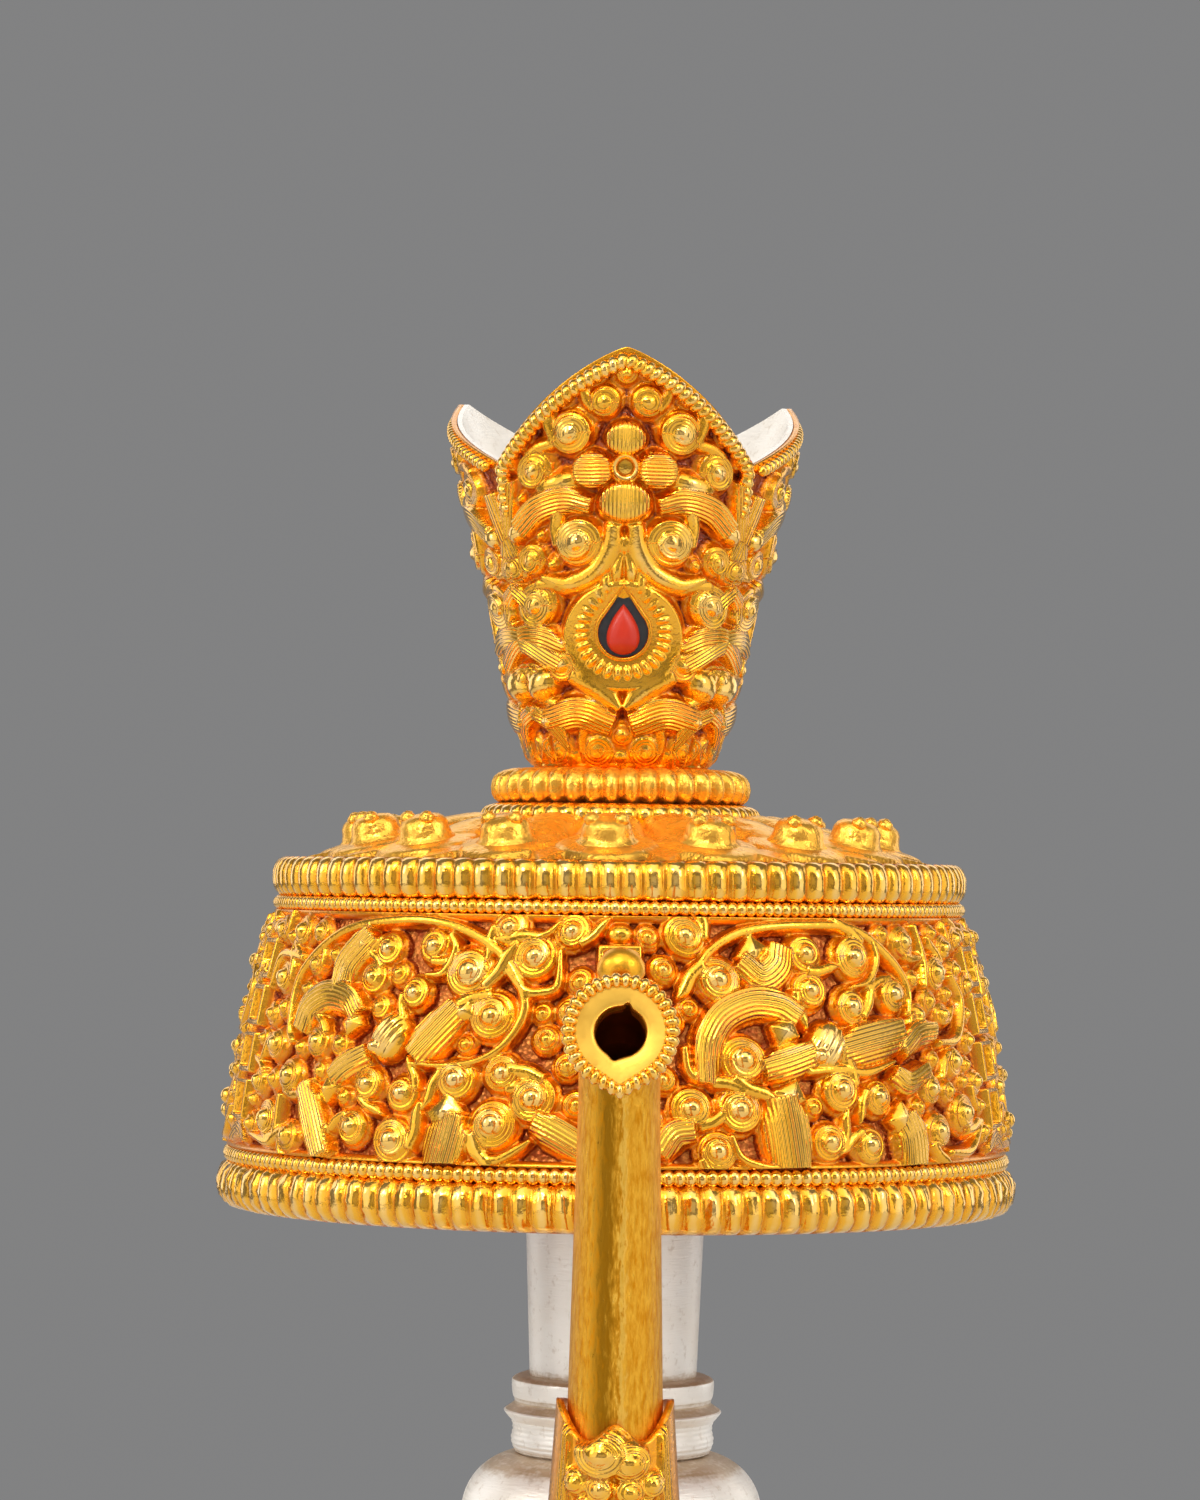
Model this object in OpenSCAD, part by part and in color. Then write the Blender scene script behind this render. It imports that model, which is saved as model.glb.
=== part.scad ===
// Ritual vase with spout: silver vessel, gilt foot, lift-off gilt canopy and lift-out gilt crown.
// Millimetres. The axis is Z, the foot rests on Z = 0 and the spout points to -Y.

/* [Foot] */
// Radius of the foot's upright lip
foot_r = 36.8; // [30:0.2:44]
// Height of the foot up to the belly
foot_h = 26; // [22:0.5:32]
// Radius of the waist under the belly
waist_r = 19; // [16:0.5:23]
// Height of the upright lip
lip_h = 6; // [5:0.5:8]
// Sheet thickness of the foot
foot_wall = 1.2; // [0.8:0.1:2]
// Thickness of the base plate
base_plate_t = 1.2; // [0.8:0.1:2]
// Number of lotus petals on the foot
foot_petal_count = 18; // [12:1:24]
// Thickness of a lotus petal
foot_petal_t = 1.1; // [0.6:0.1:1.6]
// Ribs of the ring round the foot's lip
foot_ring_ribs = 84; // [60:1:100]
// Depth of the ring round the foot's lip
foot_ring_d = 2.4; // [1.8:0.1:3]
// Ribs of the ring round the waist
waist_ring_ribs = 52; // [36:1:64]
// Depth of the ring round the waist
waist_ring_d = 2; // [1.4:0.1:2.6]

/* [Belly] */
// Largest radius of the belly
belly_r = 55; // [48:0.5:62]
// Height of the belly
belly_h = 79; // [70:1:90]
// Sheet thickness of the belly
belly_wall = 1.2; // [0.8:0.1:2]
// Radius of the flat seats at the top and bottom of the belly
belly_seat_r = 17; // [16:0.5:18.5]
// Height of the widest place, as a share of the belly's height
belly_seam_share = 0.5; // [0.4:0.02:0.6]

/* [Neck] */
// Radius of the rounded knop on the belly
knop_r = 18.7; // [17:0.1:21]
// Height of the knop
knop_h = 12; // [10:0.5:15]
// Radius of the collar's middle ring
collar_r = 13.5; // [13.2:0.1:15]
// Height of the collar
collar_h = 9.7; // [8:0.1:12]
// Radius of the neck at the collar
neck_bottom_r = 10.4; // [10.2:0.1:11.6]
// Radius of the neck at its upper end
neck_top_r = 12.9; // [12:0.1:13.6]
// Length of the neck
neck_h = 66.8; // [60:0.2:74]
// Bore through the neck
neck_bore_r = 9.2; // [8.6:0.1:9.4]

/* [Spout] */
// Radius of the spout at its root
spout_root_r = 5.6; // [5.2:0.1:6]
// Radius of the spout at its bend
spout_tip_r = 4.5; // [4.3:0.1:5.2]
// Bore through the spout
spout_bore_r = 3.2; // [2.6:0.1:3.5]
// Angle at which the spout leaves the belly
spout_root_angle = 30; // [24:1:36]
// Angle of the spout's long straight run
spout_lean = 84; // [80:1:88]
// Angle at which the mouth looks up
spout_mouth_angle = 12; // [0:1:20]
// Radius of the lower bend
spout_root_bend = 45; // [40:1:50]
// Radius of the upper bend
spout_tip_bend = 9; // [8:0.5:12]
// Length of the straight run
spout_run = 48.5; // [40:0.5:54]
// Height on the belly where the spout's line starts, above the widest place
spout_start_h = 16; // [12:0.5:20]
// Half width of the mouth plate
mouth_r = 5.7; // [5.5:0.1:6.4]
// Thickness of the mouth plate
mouth_t = 1.4; // [1:0.1:2]
// Radius of the mouth's beaded rim wire
mouth_bead_r = 0.7; // [0.5:0.05:0.9]
// Number of beads round the spout's mouth
mouth_beads = 38; // [30:1:44]
// Half width of the socket at its lips
socket_lip_r = 6.5; // [6.5:0.1:8]
// Half width of the socket at its root
socket_root_r = 10.5; // [9:0.1:12]
// Sheet thickness of the socket
socket_wall = 0.8; // [0.6:0.1:0.9]
// Spread of the root collar on the belly beyond the socket
root_spread = 4.5; // [3:0.5:6]
// Height of the socket's lips along the straight run
socket_up = 15.5; // [8:0.5:20]
// Dip of the socket's lips between its two side flaps
socket_dip = 3; // [0:0.5:5]
// Distance of the scroll's middle below the lips
scroll_drop = 6.5; // [5:0.5:10]
// Height of the scroll's curls above the socket
scroll_h = 1.8; // [1:0.1:2.4]
// Radius of the finial's bud
finial_r = 2.7; // [2:0.1:3.2]
// Height of the finial
finial_h = 5.3; // [4:0.1:6.5]
// Place of the finial round the upper bend
finial_angle = 116; // [105:1:130]

/* [Canopy] */
// Radius of the scroll band at its top
band_top_r = 42.4; // [38:0.2:45]
// Radius of the scroll band at its bottom
band_bottom_r = 48; // [45.6:0.2:52]
// Height of the scroll band
band_h = 29.2; // [26:0.2:34]
// Bulge of the scroll band outside a straight cone
band_bulge = 0.7; // [0:0.1:1.5]
// Sheet thickness of the band and of its liner
band_t = 0.8; // [0.5:0.1:1]
// Fall of the top plate from its hub to its edge
plate_fall = 5.2; // [4:0.2:7]
// Thickness of the top plate
plate_t = 1; // [0.8:0.1:1.6]
// Radius of the flat hub of the top plate
hub_r = 19; // [18.5:0.5:22]
// Height of the upper thick ring
upper_ring_h = 5; // [4:0.1:6]
// Depth of the upper thick ring
upper_ring_d = 1.7; // [1.3:0.1:2.5]
// Ribs of the upper thick ring
upper_ring_ribs = 104; // [80:1:120]
// Height of the lower thick ring
lower_ring_h = 6; // [5:0.1:7]
// Depth of the lower thick ring
lower_ring_d = 2.6; // [2:0.1:3.2]
// Ribs of the lower thick ring
lower_ring_ribs = 124; // [90:1:140]
// Radius of the fine wires
fine_wire_r = 0.7; // [0.5:0.05:0.9]
// Radius of the circle of petal bosses
boss_circle_r = 32; // [27:0.5:35]
// Number of petal bosses
boss_count = 16; // [12:1:18]
// Radius of a petal boss
boss_r = 2.8; // [2:0.1:3.4]
// Height of a petal boss
boss_h = 4; // [3:0.1:5.5]
// Thickness of a flat petal under a boss
petal_t = 0.8; // [0.5:0.1:1.2]
// Panels of scrollwork round the band
panel_count = 5; // [4:1:6]
// Radius of the vine ring in a panel
vine_r = 13; // [11:0.2:13.6]
// Width of the vines and curls
vine_w = 0.9; // [0.6:0.1:1.2]
// Relief of the vines and curls above the band
vine_relief = 0.9; // [0.5:0.1:1.3]
// Height of a snail boss above the band
snail_h = 1.7; // [1:0.1:2.2]
// Length of the locating sleeve
sleeve_h = 10.5; // [6:0.5:14]
// Radius of the seat ring under the crown
seat_ring_r = 17.7; // [17:0.1:18.4]
// Height of the seat ring
seat_ring_h = 2.7; // [2:0.1:3.5]
// Ribs of the seat ring
seat_ring_ribs = 46; // [36:1:56]

/* [Crown] */
// Radius of the crown's base ring
base_ring_r = 16.1; // [15:0.1:17.5]
// Height of the base ring
base_ring_h = 4.5; // [3.6:0.1:5.5]
// Ribs of the base ring
base_ring_ribs = 39; // [30:1:48]
// Radius of the crown's cone at its foot
crown_foot_r = 11.4; // [11:0.1:12.5]
// Flare of the cone, in radius for each millimetre of height
crown_flare = 0.195; // [0.17:0.005:0.22]
// Height of the front petal
front_petal_h = 51; // [46:0.5:56]
// Height of the two side petals
side_petal_h = 46.9; // [43:0.5:54]
// Height of the valleys between the petals
valley_h = 37.6; // [35:0.2:41]
// Half angle of the front petal
front_half_angle = 52; // [46:1:60]
// Sheet thickness of the crown's shell and lining
crown_t = 0.8; // [0.5:0.1:0.9]
// Radius of the beaded wire on the petal edges
rim_wire_r = 0.9; // [0.6:0.1:1]
// Length of the stem below the crown
stem_h = 32; // [24:1:40]
// Wall of the stem
stem_wall = 1; // [0.8:0.1:1.4]

/* [Stones] */
// Half width of a stone setting
bezel_r = 3.3; // [2.9:0.1:3.8]
// Length of a stone setting's point above its centre
bezel_point = 5.6; // [4.8:0.1:6.4]
// Width of the setting's wall
bezel_wall = 0.6; // [0.4:0.05:0.8]
// Height of the setting
bezel_h = 1.6; // [1.2:0.1:2]
// Half width of a coral stone
coral_r = 2; // [1.5:0.1:2.1]
// Rise of a coral stone above its bed
coral_h = 1.6; // [1:0.1:2]
// Thickness of the dark bed under a stone
bed_t = 0.9; // [0.5:0.1:1]
// Height of the stone settings above the base ring
stone_z = 17; // [14:0.5:20]
// Height of the flowers above the base ring
flower_z = 36; // [34:0.5:38]
// Radius of a flower
flower_r = 3.2; // [2.6:0.1:3.8]
// Thickness of a flower
flower_t = 1; // [0.8:0.1:1.4]

/* [Fits] */
// Radial clearance of the stem in the neck and hub
stem_clearance = 0.08; // [0.05:0.01:0.1]
// Radial clearance of the sleeve round the neck's end
sleeve_clearance = 0.1; // [0.06:0.01:0.2]
// Gap that keeps soldered trim clear of the face behind it
trim_gap = 0.05; // [0.02:0.01:0.1]

/* [Hidden] */
$fn = 96;
gilt = [0.9, 0.62, 0.16];
silver = [0.85, 0.85, 0.84];
red_tone = [0.62, 0.25, 0.14];
coral = [0.75, 0.16, 0.12];
pitch = [0.08, 0.07, 0.07];

z_seam = foot_h + belly_h * belly_seam_share;
z_knop = foot_h + belly_h;
z_collar = z_knop + knop_h;
z_neck = z_collar + collar_h;
z_seat = z_neck + neck_h;
z_hub = z_seat + plate_t;
z_rim = z_hub - plate_fall;
z_upper_ring = z_rim + 1.5 - upper_ring_h;
z_band = z_upper_ring - 2 * fine_wire_r - 3 * trim_gap;
z_band_foot = z_band - band_h;
z_lower_ring = z_band_foot - 2 * fine_wire_r - 3 * trim_gap - lower_ring_h;
z_crown_base = z_hub + seat_ring_h + trim_gap;
z_crown = z_crown_base + base_ring_h;
stem_r = neck_bore_r - stem_clearance;
liner_top_r = band_top_r - band_t - trim_gap;
liner_foot_r = band_bottom_r - band_t - trim_gap;
arc_steps = 14;
side_half_angle = (360 - 2 * front_half_angle) / 4;
side_centre = front_half_angle + side_half_angle;

// Points of an elliptical arc in the section plane.
function arc(c, rx, ry, a0, a1, n = arc_steps) =
  [for (i = [0 : n]) let (a = a0 + (a1 - a0) * i / n) c + [rx * cos(a), ry * sin(a)]];

function reversed(v) = [for (i = [len(v) - 1 : -1 : 0]) v[i]];

// Ring with upright ribs round its middle and a bevelled fillet above and below.
module ribbed_ring(inner_r, outer_r, h, ribs) {
  rib_r = 0.47 * 2 * PI * outer_r / ribs;
  root_r = outer_r - rib_r;
  fillet = 0.22 * h;
  flute_h = h - 2 * fillet;
  translate([0, 0, fillet]) linear_extrude(height = flute_h) difference() {
    union() {
      circle(r = root_r);
      for (i = [0 : ribs - 1]) rotate(i * 360 / ribs) translate([root_r, 0]) circle(r = rib_r, $fn = 24);
    }
    circle(r = inner_r);
  }
  bevel_r = root_r - 0.25 * (root_r - inner_r);
  rotate_extrude() polygon([[inner_r, 0], [bevel_r, 0], [root_r, fillet], [inner_r, fillet]]);
  translate([0, 0, h]) mirror([0, 0, 1])
    rotate_extrude() polygon([[inner_r, 0], [bevel_r, 0], [root_r, fillet], [inner_r, fillet]]);
}

module fine_wire(centre_r, z) {
  translate([0, 0, z]) rotate_extrude() translate([centre_r, 0]) circle(r = fine_wire_r, $fn = 32);
}

// Foot

foot_dome_r = waist_r + (foot_r - waist_r) * 0.45;
foot_neck_z = foot_h - 3.5;
foot_dome_h = (foot_neck_z - lip_h) * 0.6;

// Outside of the foot, or a line set in from it by d.
function foot_line(d) = concat(
  arc([foot_dome_r, lip_h], foot_r - foot_dome_r - d, foot_dome_h - d, 0, 90),
  arc([foot_dome_r, foot_neck_z], foot_dome_r - waist_r + d, foot_neck_z - lip_h - foot_dome_h + d, 270, 180));

module base_plate() {
  color(gilt) cylinder(r = foot_r - foot_wall - trim_gap, h = base_plate_t);
}

module foot() {
  color(gilt) rotate_extrude() polygon(concat(
    [[foot_r - foot_wall, 0], [foot_r, 0]], foot_line(0),
    [[waist_r, foot_h], [0, foot_h], [0, foot_h - foot_wall], [waist_r - foot_wall, foot_h - foot_wall]],
    reversed(foot_line(foot_wall))));
}

module foot_petals() {
  petal_w = 0.92 * PI * foot_dome_r / foot_petal_count;
  root = foot_dome_r - 1;
  tip = foot_r + 0.75 * foot_petal_t;
  reach = tip - root;
  color(gilt) intersection() {
    rotate_extrude() polygon(concat(
      arc([foot_dome_r, lip_h], foot_r - foot_dome_r + foot_petal_t, foot_dome_h + foot_petal_t, 0, 90),
      reversed(arc([foot_dome_r, lip_h], foot_r - foot_dome_r + trim_gap, foot_dome_h + trim_gap, 0, 90))));
    for (i = [0 : foot_petal_count - 1]) rotate(i * 360 / foot_petal_count)
      linear_extrude(height = foot_h) polygon([
        [root, -0.55 * petal_w], [root + 0.5 * reach, -petal_w], [root + 0.8 * reach, -0.8 * petal_w],
        [tip, 0],
        [root + 0.8 * reach, 0.8 * petal_w], [root + 0.5 * reach, petal_w], [root, 0.55 * petal_w]]);
  }
}

module foot_lower_ring() {
  color(gilt) translate([0, 0, 0.1 * lip_h])
    ribbed_ring(foot_r + trim_gap, foot_r + foot_ring_d, 0.8 * lip_h, foot_ring_ribs);
}

module foot_upper_ring() {
  color(gilt) translate([0, 0, foot_neck_z])
    ribbed_ring(waist_r + trim_gap, waist_r + waist_ring_d, 0.9 * (foot_h - foot_neck_z), waist_ring_ribs);
}

// Belly

belly_angle = acos(belly_seat_r / belly_r);
belly_low_ry = (z_seam - foot_h) / sin(belly_angle);
belly_high_ry = (z_knop - z_seam) / sin(belly_angle);

module belly_bowl() {
  inner_angle = asin((z_seam - foot_h - belly_wall) / (belly_low_ry - belly_wall));
  color(silver) rotate_extrude() polygon(concat(
    [[0, foot_h]], arc([0, z_seam], belly_r, belly_low_ry, -belly_angle, 0),
    arc([0, z_seam], belly_r - belly_wall, belly_low_ry - belly_wall, 0, -inner_angle),
    [[0, foot_h + belly_wall]]));
}

module belly_dome() {
  inner_angle = asin((z_knop - z_seam - belly_wall) / (belly_high_ry - belly_wall));
  color(silver) difference() {
    rotate_extrude() polygon(concat(
      arc([0, z_seam], belly_r, belly_high_ry, 0, belly_angle),
      [[neck_bore_r, z_knop], [neck_bore_r, z_knop - belly_wall]],
      arc([0, z_seam], belly_r - belly_wall, belly_high_ry - belly_wall, inner_angle, 0)));
    spout_way(2 * spout_root_r, spout_lean);
  }
}

// Neck

module neck_knop() {
  swell = 0.41 * knop_r;
  low_angle = 40;
  high_angle = 78;
  swell_r = knop_r - swell;
  swell_z = z_knop + 0.39 * knop_h;
  color(silver) rotate_extrude() polygon(concat(
    [[neck_bore_r, z_knop], [swell_r + swell * cos(low_angle), z_knop]],
    arc([swell_r, swell_z], swell, (swell_z - z_knop) / sin(low_angle), -low_angle, 0),
    arc([swell_r, swell_z], swell, (z_collar - swell_z) / sin(high_angle), 0, high_angle),
    [[neck_bore_r, z_collar]]));
}

// Outline of the collar from its foot up, as setbacks in shares of its radius and heights in shares of its height:
// a hollow foot, a sharp flange with a shelf above it, and a rounded lip.
collar_outline = [[0.12, 0.03], [0.1, 0.12], [0.092, 0.2], [0.107, 0.31], [0.092, 0.41], [0.044, 0.47], [0, 0.535],
  [0.004, 0.56], [0.03, 0.585], [0.119, 0.65], [0.122, 0.71], [0.096, 0.79], [0.067, 0.88], [0.07, 0.94], [0.096, 0.975]];

module neck_collar() {
  root_r = 0.86 * collar_r;
  color(silver) rotate_extrude() polygon(concat(
    [[neck_bore_r, z_collar], [root_r, z_collar]],
    [for (p = collar_outline) [collar_r * (1 - p[0]), z_collar + p[1] * collar_h]],
    [[root_r, z_neck], [neck_bore_r, z_neck]]));
}

module neck_tube() {
  color(silver) rotate_extrude() polygon([
    [neck_bore_r, z_neck], [neck_bottom_r, z_neck], [neck_top_r, z_seat], [neck_bore_r, z_seat]]);
}

// Spout, drawn in a plane whose X runs outward and whose Y runs up

spout_z = z_seam + spout_start_h;
spout_start = [belly_r * sqrt(1 - pow(spout_start_h / belly_high_ry, 2)) - 3, spout_z];
root_centre = spout_start + spout_root_bend * [-sin(spout_root_angle), cos(spout_root_angle)];
run_start = spout_start + spout_root_bend * [sin(spout_lean) - sin(spout_root_angle),
                                             cos(spout_root_angle) - cos(spout_lean)];
run_end = run_start + spout_run * [cos(spout_lean), sin(spout_lean)];
spout_end = run_end + spout_tip_bend * [sin(spout_lean) - sin(spout_mouth_angle),
                                        cos(spout_mouth_angle) - cos(spout_lean)];
mouth_ahead = [cos(spout_mouth_angle), sin(spout_mouth_angle)];

module spout_plane() {
  rotate([90, 0, -90]) children();
}

// Children stand on a point of the spout plane and rise in the direction of an angle.
module aimed(p, a) {
  spout_plane() translate([p[0], p[1], 0]) rotate([0, 0, a]) rotate([0, 90, 0]) children();
}

// Clearance hole for the spout: straight behind its start, then bent with it up to heading a1.
module spout_way(back, a1) {
  aimed(spout_start - back * [cos(spout_root_angle), sin(spout_root_angle)], spout_root_angle)
    cylinder(r = spout_root_r + trim_gap, h = back + trim_gap);
  spout_plane() translate([root_centre[0], root_centre[1], 0]) rotate([0, 0, spout_root_angle - 90])
    rotate_extrude(angle = a1 - spout_root_angle) translate([spout_root_bend, 0]) circle(r = spout_root_r + trim_gap);
}

// Bent stretch of tube: an annulus of outer radius r turned in the spout plane.
module bent_tube(centre, bend, a0, a1, r) {
  spout_plane() translate([centre[0], centre[1], 0]) rotate([0, 0, a0])
    rotate_extrude(angle = a1 - a0) translate([bend, 0]) difference() {
      circle(r = r);
      circle(r = spout_bore_r);
    }
}

module spout_tube() {
  lap = 0.2;
  tip_centre = run_end + spout_tip_bend * [sin(spout_lean), -cos(spout_lean)];
  color(gilt) {
    bent_tube(root_centre, spout_root_bend, spout_root_angle - 90, spout_lean - 90, spout_root_r);
    aimed(run_start, spout_lean) rotate_extrude() polygon([
      [spout_bore_r - trim_gap, -lap], [spout_root_r + trim_gap, -lap],
      [spout_tip_r + trim_gap, spout_run + lap], [spout_bore_r - trim_gap, spout_run + lap]]);
    bent_tube(tip_centre, spout_tip_bend, spout_mouth_angle + 90, spout_lean + 90, spout_tip_r);
  }
}

// Pear outline with its point at +X, or turned by an angle: a round arc closed by two tangents.
module pear(r, point, turn = 0) {
  tangent = acos(r / point);
  rotate(turn) polygon(concat(arc([0, 0], r, r, tangent, 360 - tangent, 40), [[point, 0]]));
}

mouth_point = mouth_r * 1.18;

module spout_mouth() {
  color(gilt) aimed(spout_end, spout_mouth_angle) difference() {
    linear_extrude(height = mouth_t) pear(mouth_r - mouth_bead_r, mouth_point - mouth_bead_r, -90);
    translate([0, 0, -1]) cylinder(r = spout_bore_r, h = mouth_t + 2);
    translate([0, 0, mouth_t - 0.8]) cylinder(r1 = spout_bore_r, r2 = spout_bore_r + 0.8, h = 0.8);
  }
}

// Distance from a pear's centre to its outline, at an angle from its point.
function pear_reach(r, point, a) =
  let (tangent = acos(r / point), k = min(a, 360 - a))
  k < tangent ? r / cos(tangent - k) : r;

module spout_beaded_rim() {
  web = 0.5 * mouth_bead_r;
  color(gilt) aimed(spout_end, spout_mouth_angle) difference() {
    linear_extrude(height = mouth_t + 0.5) {
      pear(mouth_r + web, mouth_point + web, -90);
      for (i = [0 : mouth_beads - 1]) rotate(i * 360 / mouth_beads - 90)
        translate([pear_reach(mouth_r, mouth_point, i * 360 / mouth_beads), 0])
          circle(r = mouth_bead_r, $fn = 24);
    }
    translate([0, 0, -1]) linear_extrude(height = mouth_t + 3)
      pear(mouth_r - mouth_bead_r + trim_gap, mouth_point - mouth_bead_r + trim_gap, -90);
  }
}

module spout_finial() {
  bend_centre = run_end + spout_tip_bend * [sin(spout_lean), -cos(spout_lean)];
  seat = bend_centre + (spout_tip_bend + spout_tip_r + trim_gap) * [cos(finial_angle), sin(finial_angle)];
  foot_w = 0.67 * finial_r;
  neck_w = 0.48 * finial_r;
  color(gilt) aimed(seat, finial_angle) rotate_extrude($fn = 48) polygon(concat(
    [[0, 0], [foot_w, 0], [foot_w, 0.13 * finial_h], [neck_w, 0.19 * finial_h], [neck_w, 0.3 * finial_h]],
    arc([0, 0.6 * finial_h], finial_r, 0.4 * finial_h, -30, 90, 8)));
}

module spout_root() {
  ahead = [cos(spout_root_angle), sin(spout_root_angle)];
  back = 2 * root_spread;
  reach = spout_root_bend * sin(socket_start - spout_root_angle) + 1;
  color(gilt) difference() {
    aimed(spout_start - back * ahead, spout_root_angle)
      cylinder(r1 = socket_root_r + root_spread, r2 = socket_root_r + 0.13 * root_spread, h = back + reach);
    rotate_extrude() polygon(concat([[0, z_knop], [0, z_seam]],
      arc([0, z_seam], belly_r + trim_gap, belly_high_ry + trim_gap, 0, belly_angle)));
    translate([0, 0, foot_h]) cylinder(r = belly_r + trim_gap, h = z_seam - foot_h);
    spout_way(3 * root_spread, socket_start + 10);
    aimed(root_point(socket_start), socket_start) translate([0, 0, -trim_gap])
      cylinder(r = 2 * socket_root_r, h = 2 * socket_root_r);
  }
}

// The socket starts on the lower bend and ends on the straight run.
socket_start = spout_root_angle + 9;
socket_steps = 14;
socket_sides = 24;
socket_arc = spout_root_bend * (spout_lean - socket_start) * PI / 180;
socket_length = socket_arc + socket_up;

// Place on the spout's centre line at heading a of the lower bend.
function root_point(a) = spout_start + spout_root_bend * [sin(a) - sin(spout_root_angle),
                                                          cos(spout_root_angle) - cos(a)];

// Place and heading on the spout's centre line at a distance d past the socket's start.
function spout_line(d) = let (a = socket_start + d / spout_root_bend * 180 / PI)
  d < socket_arc ? [root_point(a), a]
                 : [run_start + (d - socket_arc) * [cos(spout_lean), sin(spout_lean)], spout_lean];

// Half width of the socket at a share of its length.
function socket_r(share) = socket_lip_r + (socket_root_r - socket_lip_r) * pow(1 - share, 1.1);

// One loop of the socket; the sides stand higher than the front and back.
function socket_loop(share, thin) = [for (k = [0 : socket_sides - 1])
  let (t = k * 360 / socket_sides, line = spout_line(share * (socket_length - socket_dip * pow(cos(t), 2))))
  let (r = max(socket_r(share) - thin, spout_root_r + 2 * trim_gap), p = line[0], a = line[1])
  [r * sin(t), r * cos(t) * sin(a) - p[0], p[1] + r * cos(t) * cos(a)]];

module spout_socket() {
  outer = [for (i = [0 : socket_steps]) socket_loop(i / socket_steps, 0)];
  inner = [for (i = [0 : socket_steps]) socket_loop(i / socket_steps, socket_wall)];
  pts = concat([for (l = outer) each l], [for (l = inner) each l]);
  n = socket_sides;
  m = (socket_steps + 1) * n;
  last = socket_steps * n;
  color(gilt) polyhedron(points = pts, faces = concat(
    [for (i = [0 : socket_steps - 1], k = [0 : n - 1]) let (q = (k + 1) % n)
      each [[i * n + k, i * n + q, i * n + n + q], [i * n + k, i * n + n + q, i * n + n + k]]],
    [for (i = [0 : socket_steps - 1], k = [0 : n - 1]) let (q = (k + 1) % n)
      each [[m + i * n + q, m + i * n + k, m + i * n + n + q], [m + i * n + n + q, m + i * n + k, m + i * n + n + k]]],
    [for (k = [0 : n - 1]) let (q = (k + 1) % n) each [[k, m + k, q], [q, m + k, m + q]]],
    [for (k = [0 : n - 1]) let (q = (k + 1) % n)
      each [[last + k, last + q, m + last + k], [last + q, m + last + q, m + last + k]]]));
}

// Curls of the scroll: place across and along the spout, and radius.
scroll_curls = [[-0.6, 0.4, 3], [2.5, -2.2, 2.4], [-2.9, -3.6, 1.7], [-0.3, -4.9, 1.6], [2.7, -5.4, 1.6]];

// Cluster of curls on the outer face of the socket, hollowed to its round.
module spout_scroll() {
  line = spout_line(socket_length - scroll_drop);
  low = 2 * scroll_drop;
  hold_r = socket_r(1 - low / socket_length) + trim_gap;
  color(gilt) aimed(line[0], line[1]) difference() {
    for (c = scroll_curls) translate([c[0], -0.7 * hold_r, c[1]]) rotate([90, 0, 0])
      cylinder(r1 = c[2] + 0.4, r2 = 0.4 * c[2], h = 0.3 * hold_r + scroll_h, $fn = 40);
    translate([0, 0, -low]) cylinder(r = hold_r, h = 2 * low);
  }
}

// Canopy

// Radius of the scroll band's outer face at a height.
function band_r(z) = let (t = (z_band - z) / band_h)
  band_top_r + (band_bottom_r - band_top_r) * t + 4 * band_bulge * t * (1 - t);

band_steps = 6;

function band_line(d) = [for (i = [0 : band_steps]) let (z = z_band - band_h * i / band_steps) [band_r(z) - d, z]];

module canopy_top_plate() {
  rim_r = liner_top_r;
  color(gilt) rotate_extrude() polygon([
    [neck_bore_r, z_hub], [neck_bore_r, z_seat], [hub_r - 0.2, z_seat], [rim_r - band_t - 0.2, z_rim - plate_t],
    [rim_r, z_rim - plate_t], [rim_r, z_rim], [hub_r, z_hub]]);
}

plate_slope = atan(plate_fall / (liner_top_r - hub_r));

// Height of the top plate's sloping face at radius r.
function plate_z(r) = z_hub - plate_fall * (r - hub_r) / (liner_top_r - hub_r);

boss_turn = -93;

module canopy_petals() {
  root = hub_r + 2;
  tip = liner_top_r - 1.5;
  wide = 0.9 * PI * boss_circle_r / boss_count;
  low = 2 * trim_gap;
  over = 0.4;
  color(gilt) intersection() {
    rotate_extrude() polygon([[root, plate_z(root) + low], [tip, plate_z(tip) + low],
      [tip, plate_z(tip) + petal_t], [root, plate_z(root) + petal_t]]);
    for (i = [0 : boss_count - 1]) rotate(i * 360 / boss_count + boss_turn)
      translate([0, 0, z_rim]) linear_extrude(height = plate_fall + petal_t) polygon([
        [root - over, -0.5 * wide], [boss_circle_r, -wide], [0.45 * boss_circle_r + 0.55 * tip, -0.85 * wide],
        [tip - over, 0],
        [0.45 * boss_circle_r + 0.55 * tip, 0.85 * wide], [boss_circle_r, wide], [root - over, 0.5 * wide]]);
  }
}

// Petal bosses: each a bell-shaped cushion whose top ends in two balls, as a leaf tip curled to both sides.
module canopy_bosses() {
  seat_z = plate_z(boss_circle_r) + petal_t + 2 * trim_gap;
  curl_r = 0.36 * boss_r;
  color(gilt) for (i = [0 : boss_count - 1]) rotate([0, 0, i * 360 / boss_count + boss_turn])
    translate([boss_circle_r, 0, seat_z]) rotate([0, plate_slope, 0]) {
      rotate_extrude($fn = 32) polygon(concat(
        [[0, 0], [1.15 * boss_r, 0], [1.05 * boss_r, 0.12 * boss_h], [0.92 * boss_r, 0.4 * boss_h]],
        arc([0, 0.62 * boss_h], 0.9 * boss_r, 0.38 * boss_h, 0, 90, 8)));
      for (side = [-1, 1]) translate([0.2 * boss_r, 0.58 * side * boss_r, boss_h - 0.35 * curl_r])
        sphere(r = curl_r, $fn = 24);
    }
}

module canopy_seat_ring() {
  color(gilt) translate([0, 0, z_hub])
    ribbed_ring(neck_bore_r + 3, seat_ring_r, seat_ring_h, seat_ring_ribs);
}

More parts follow.
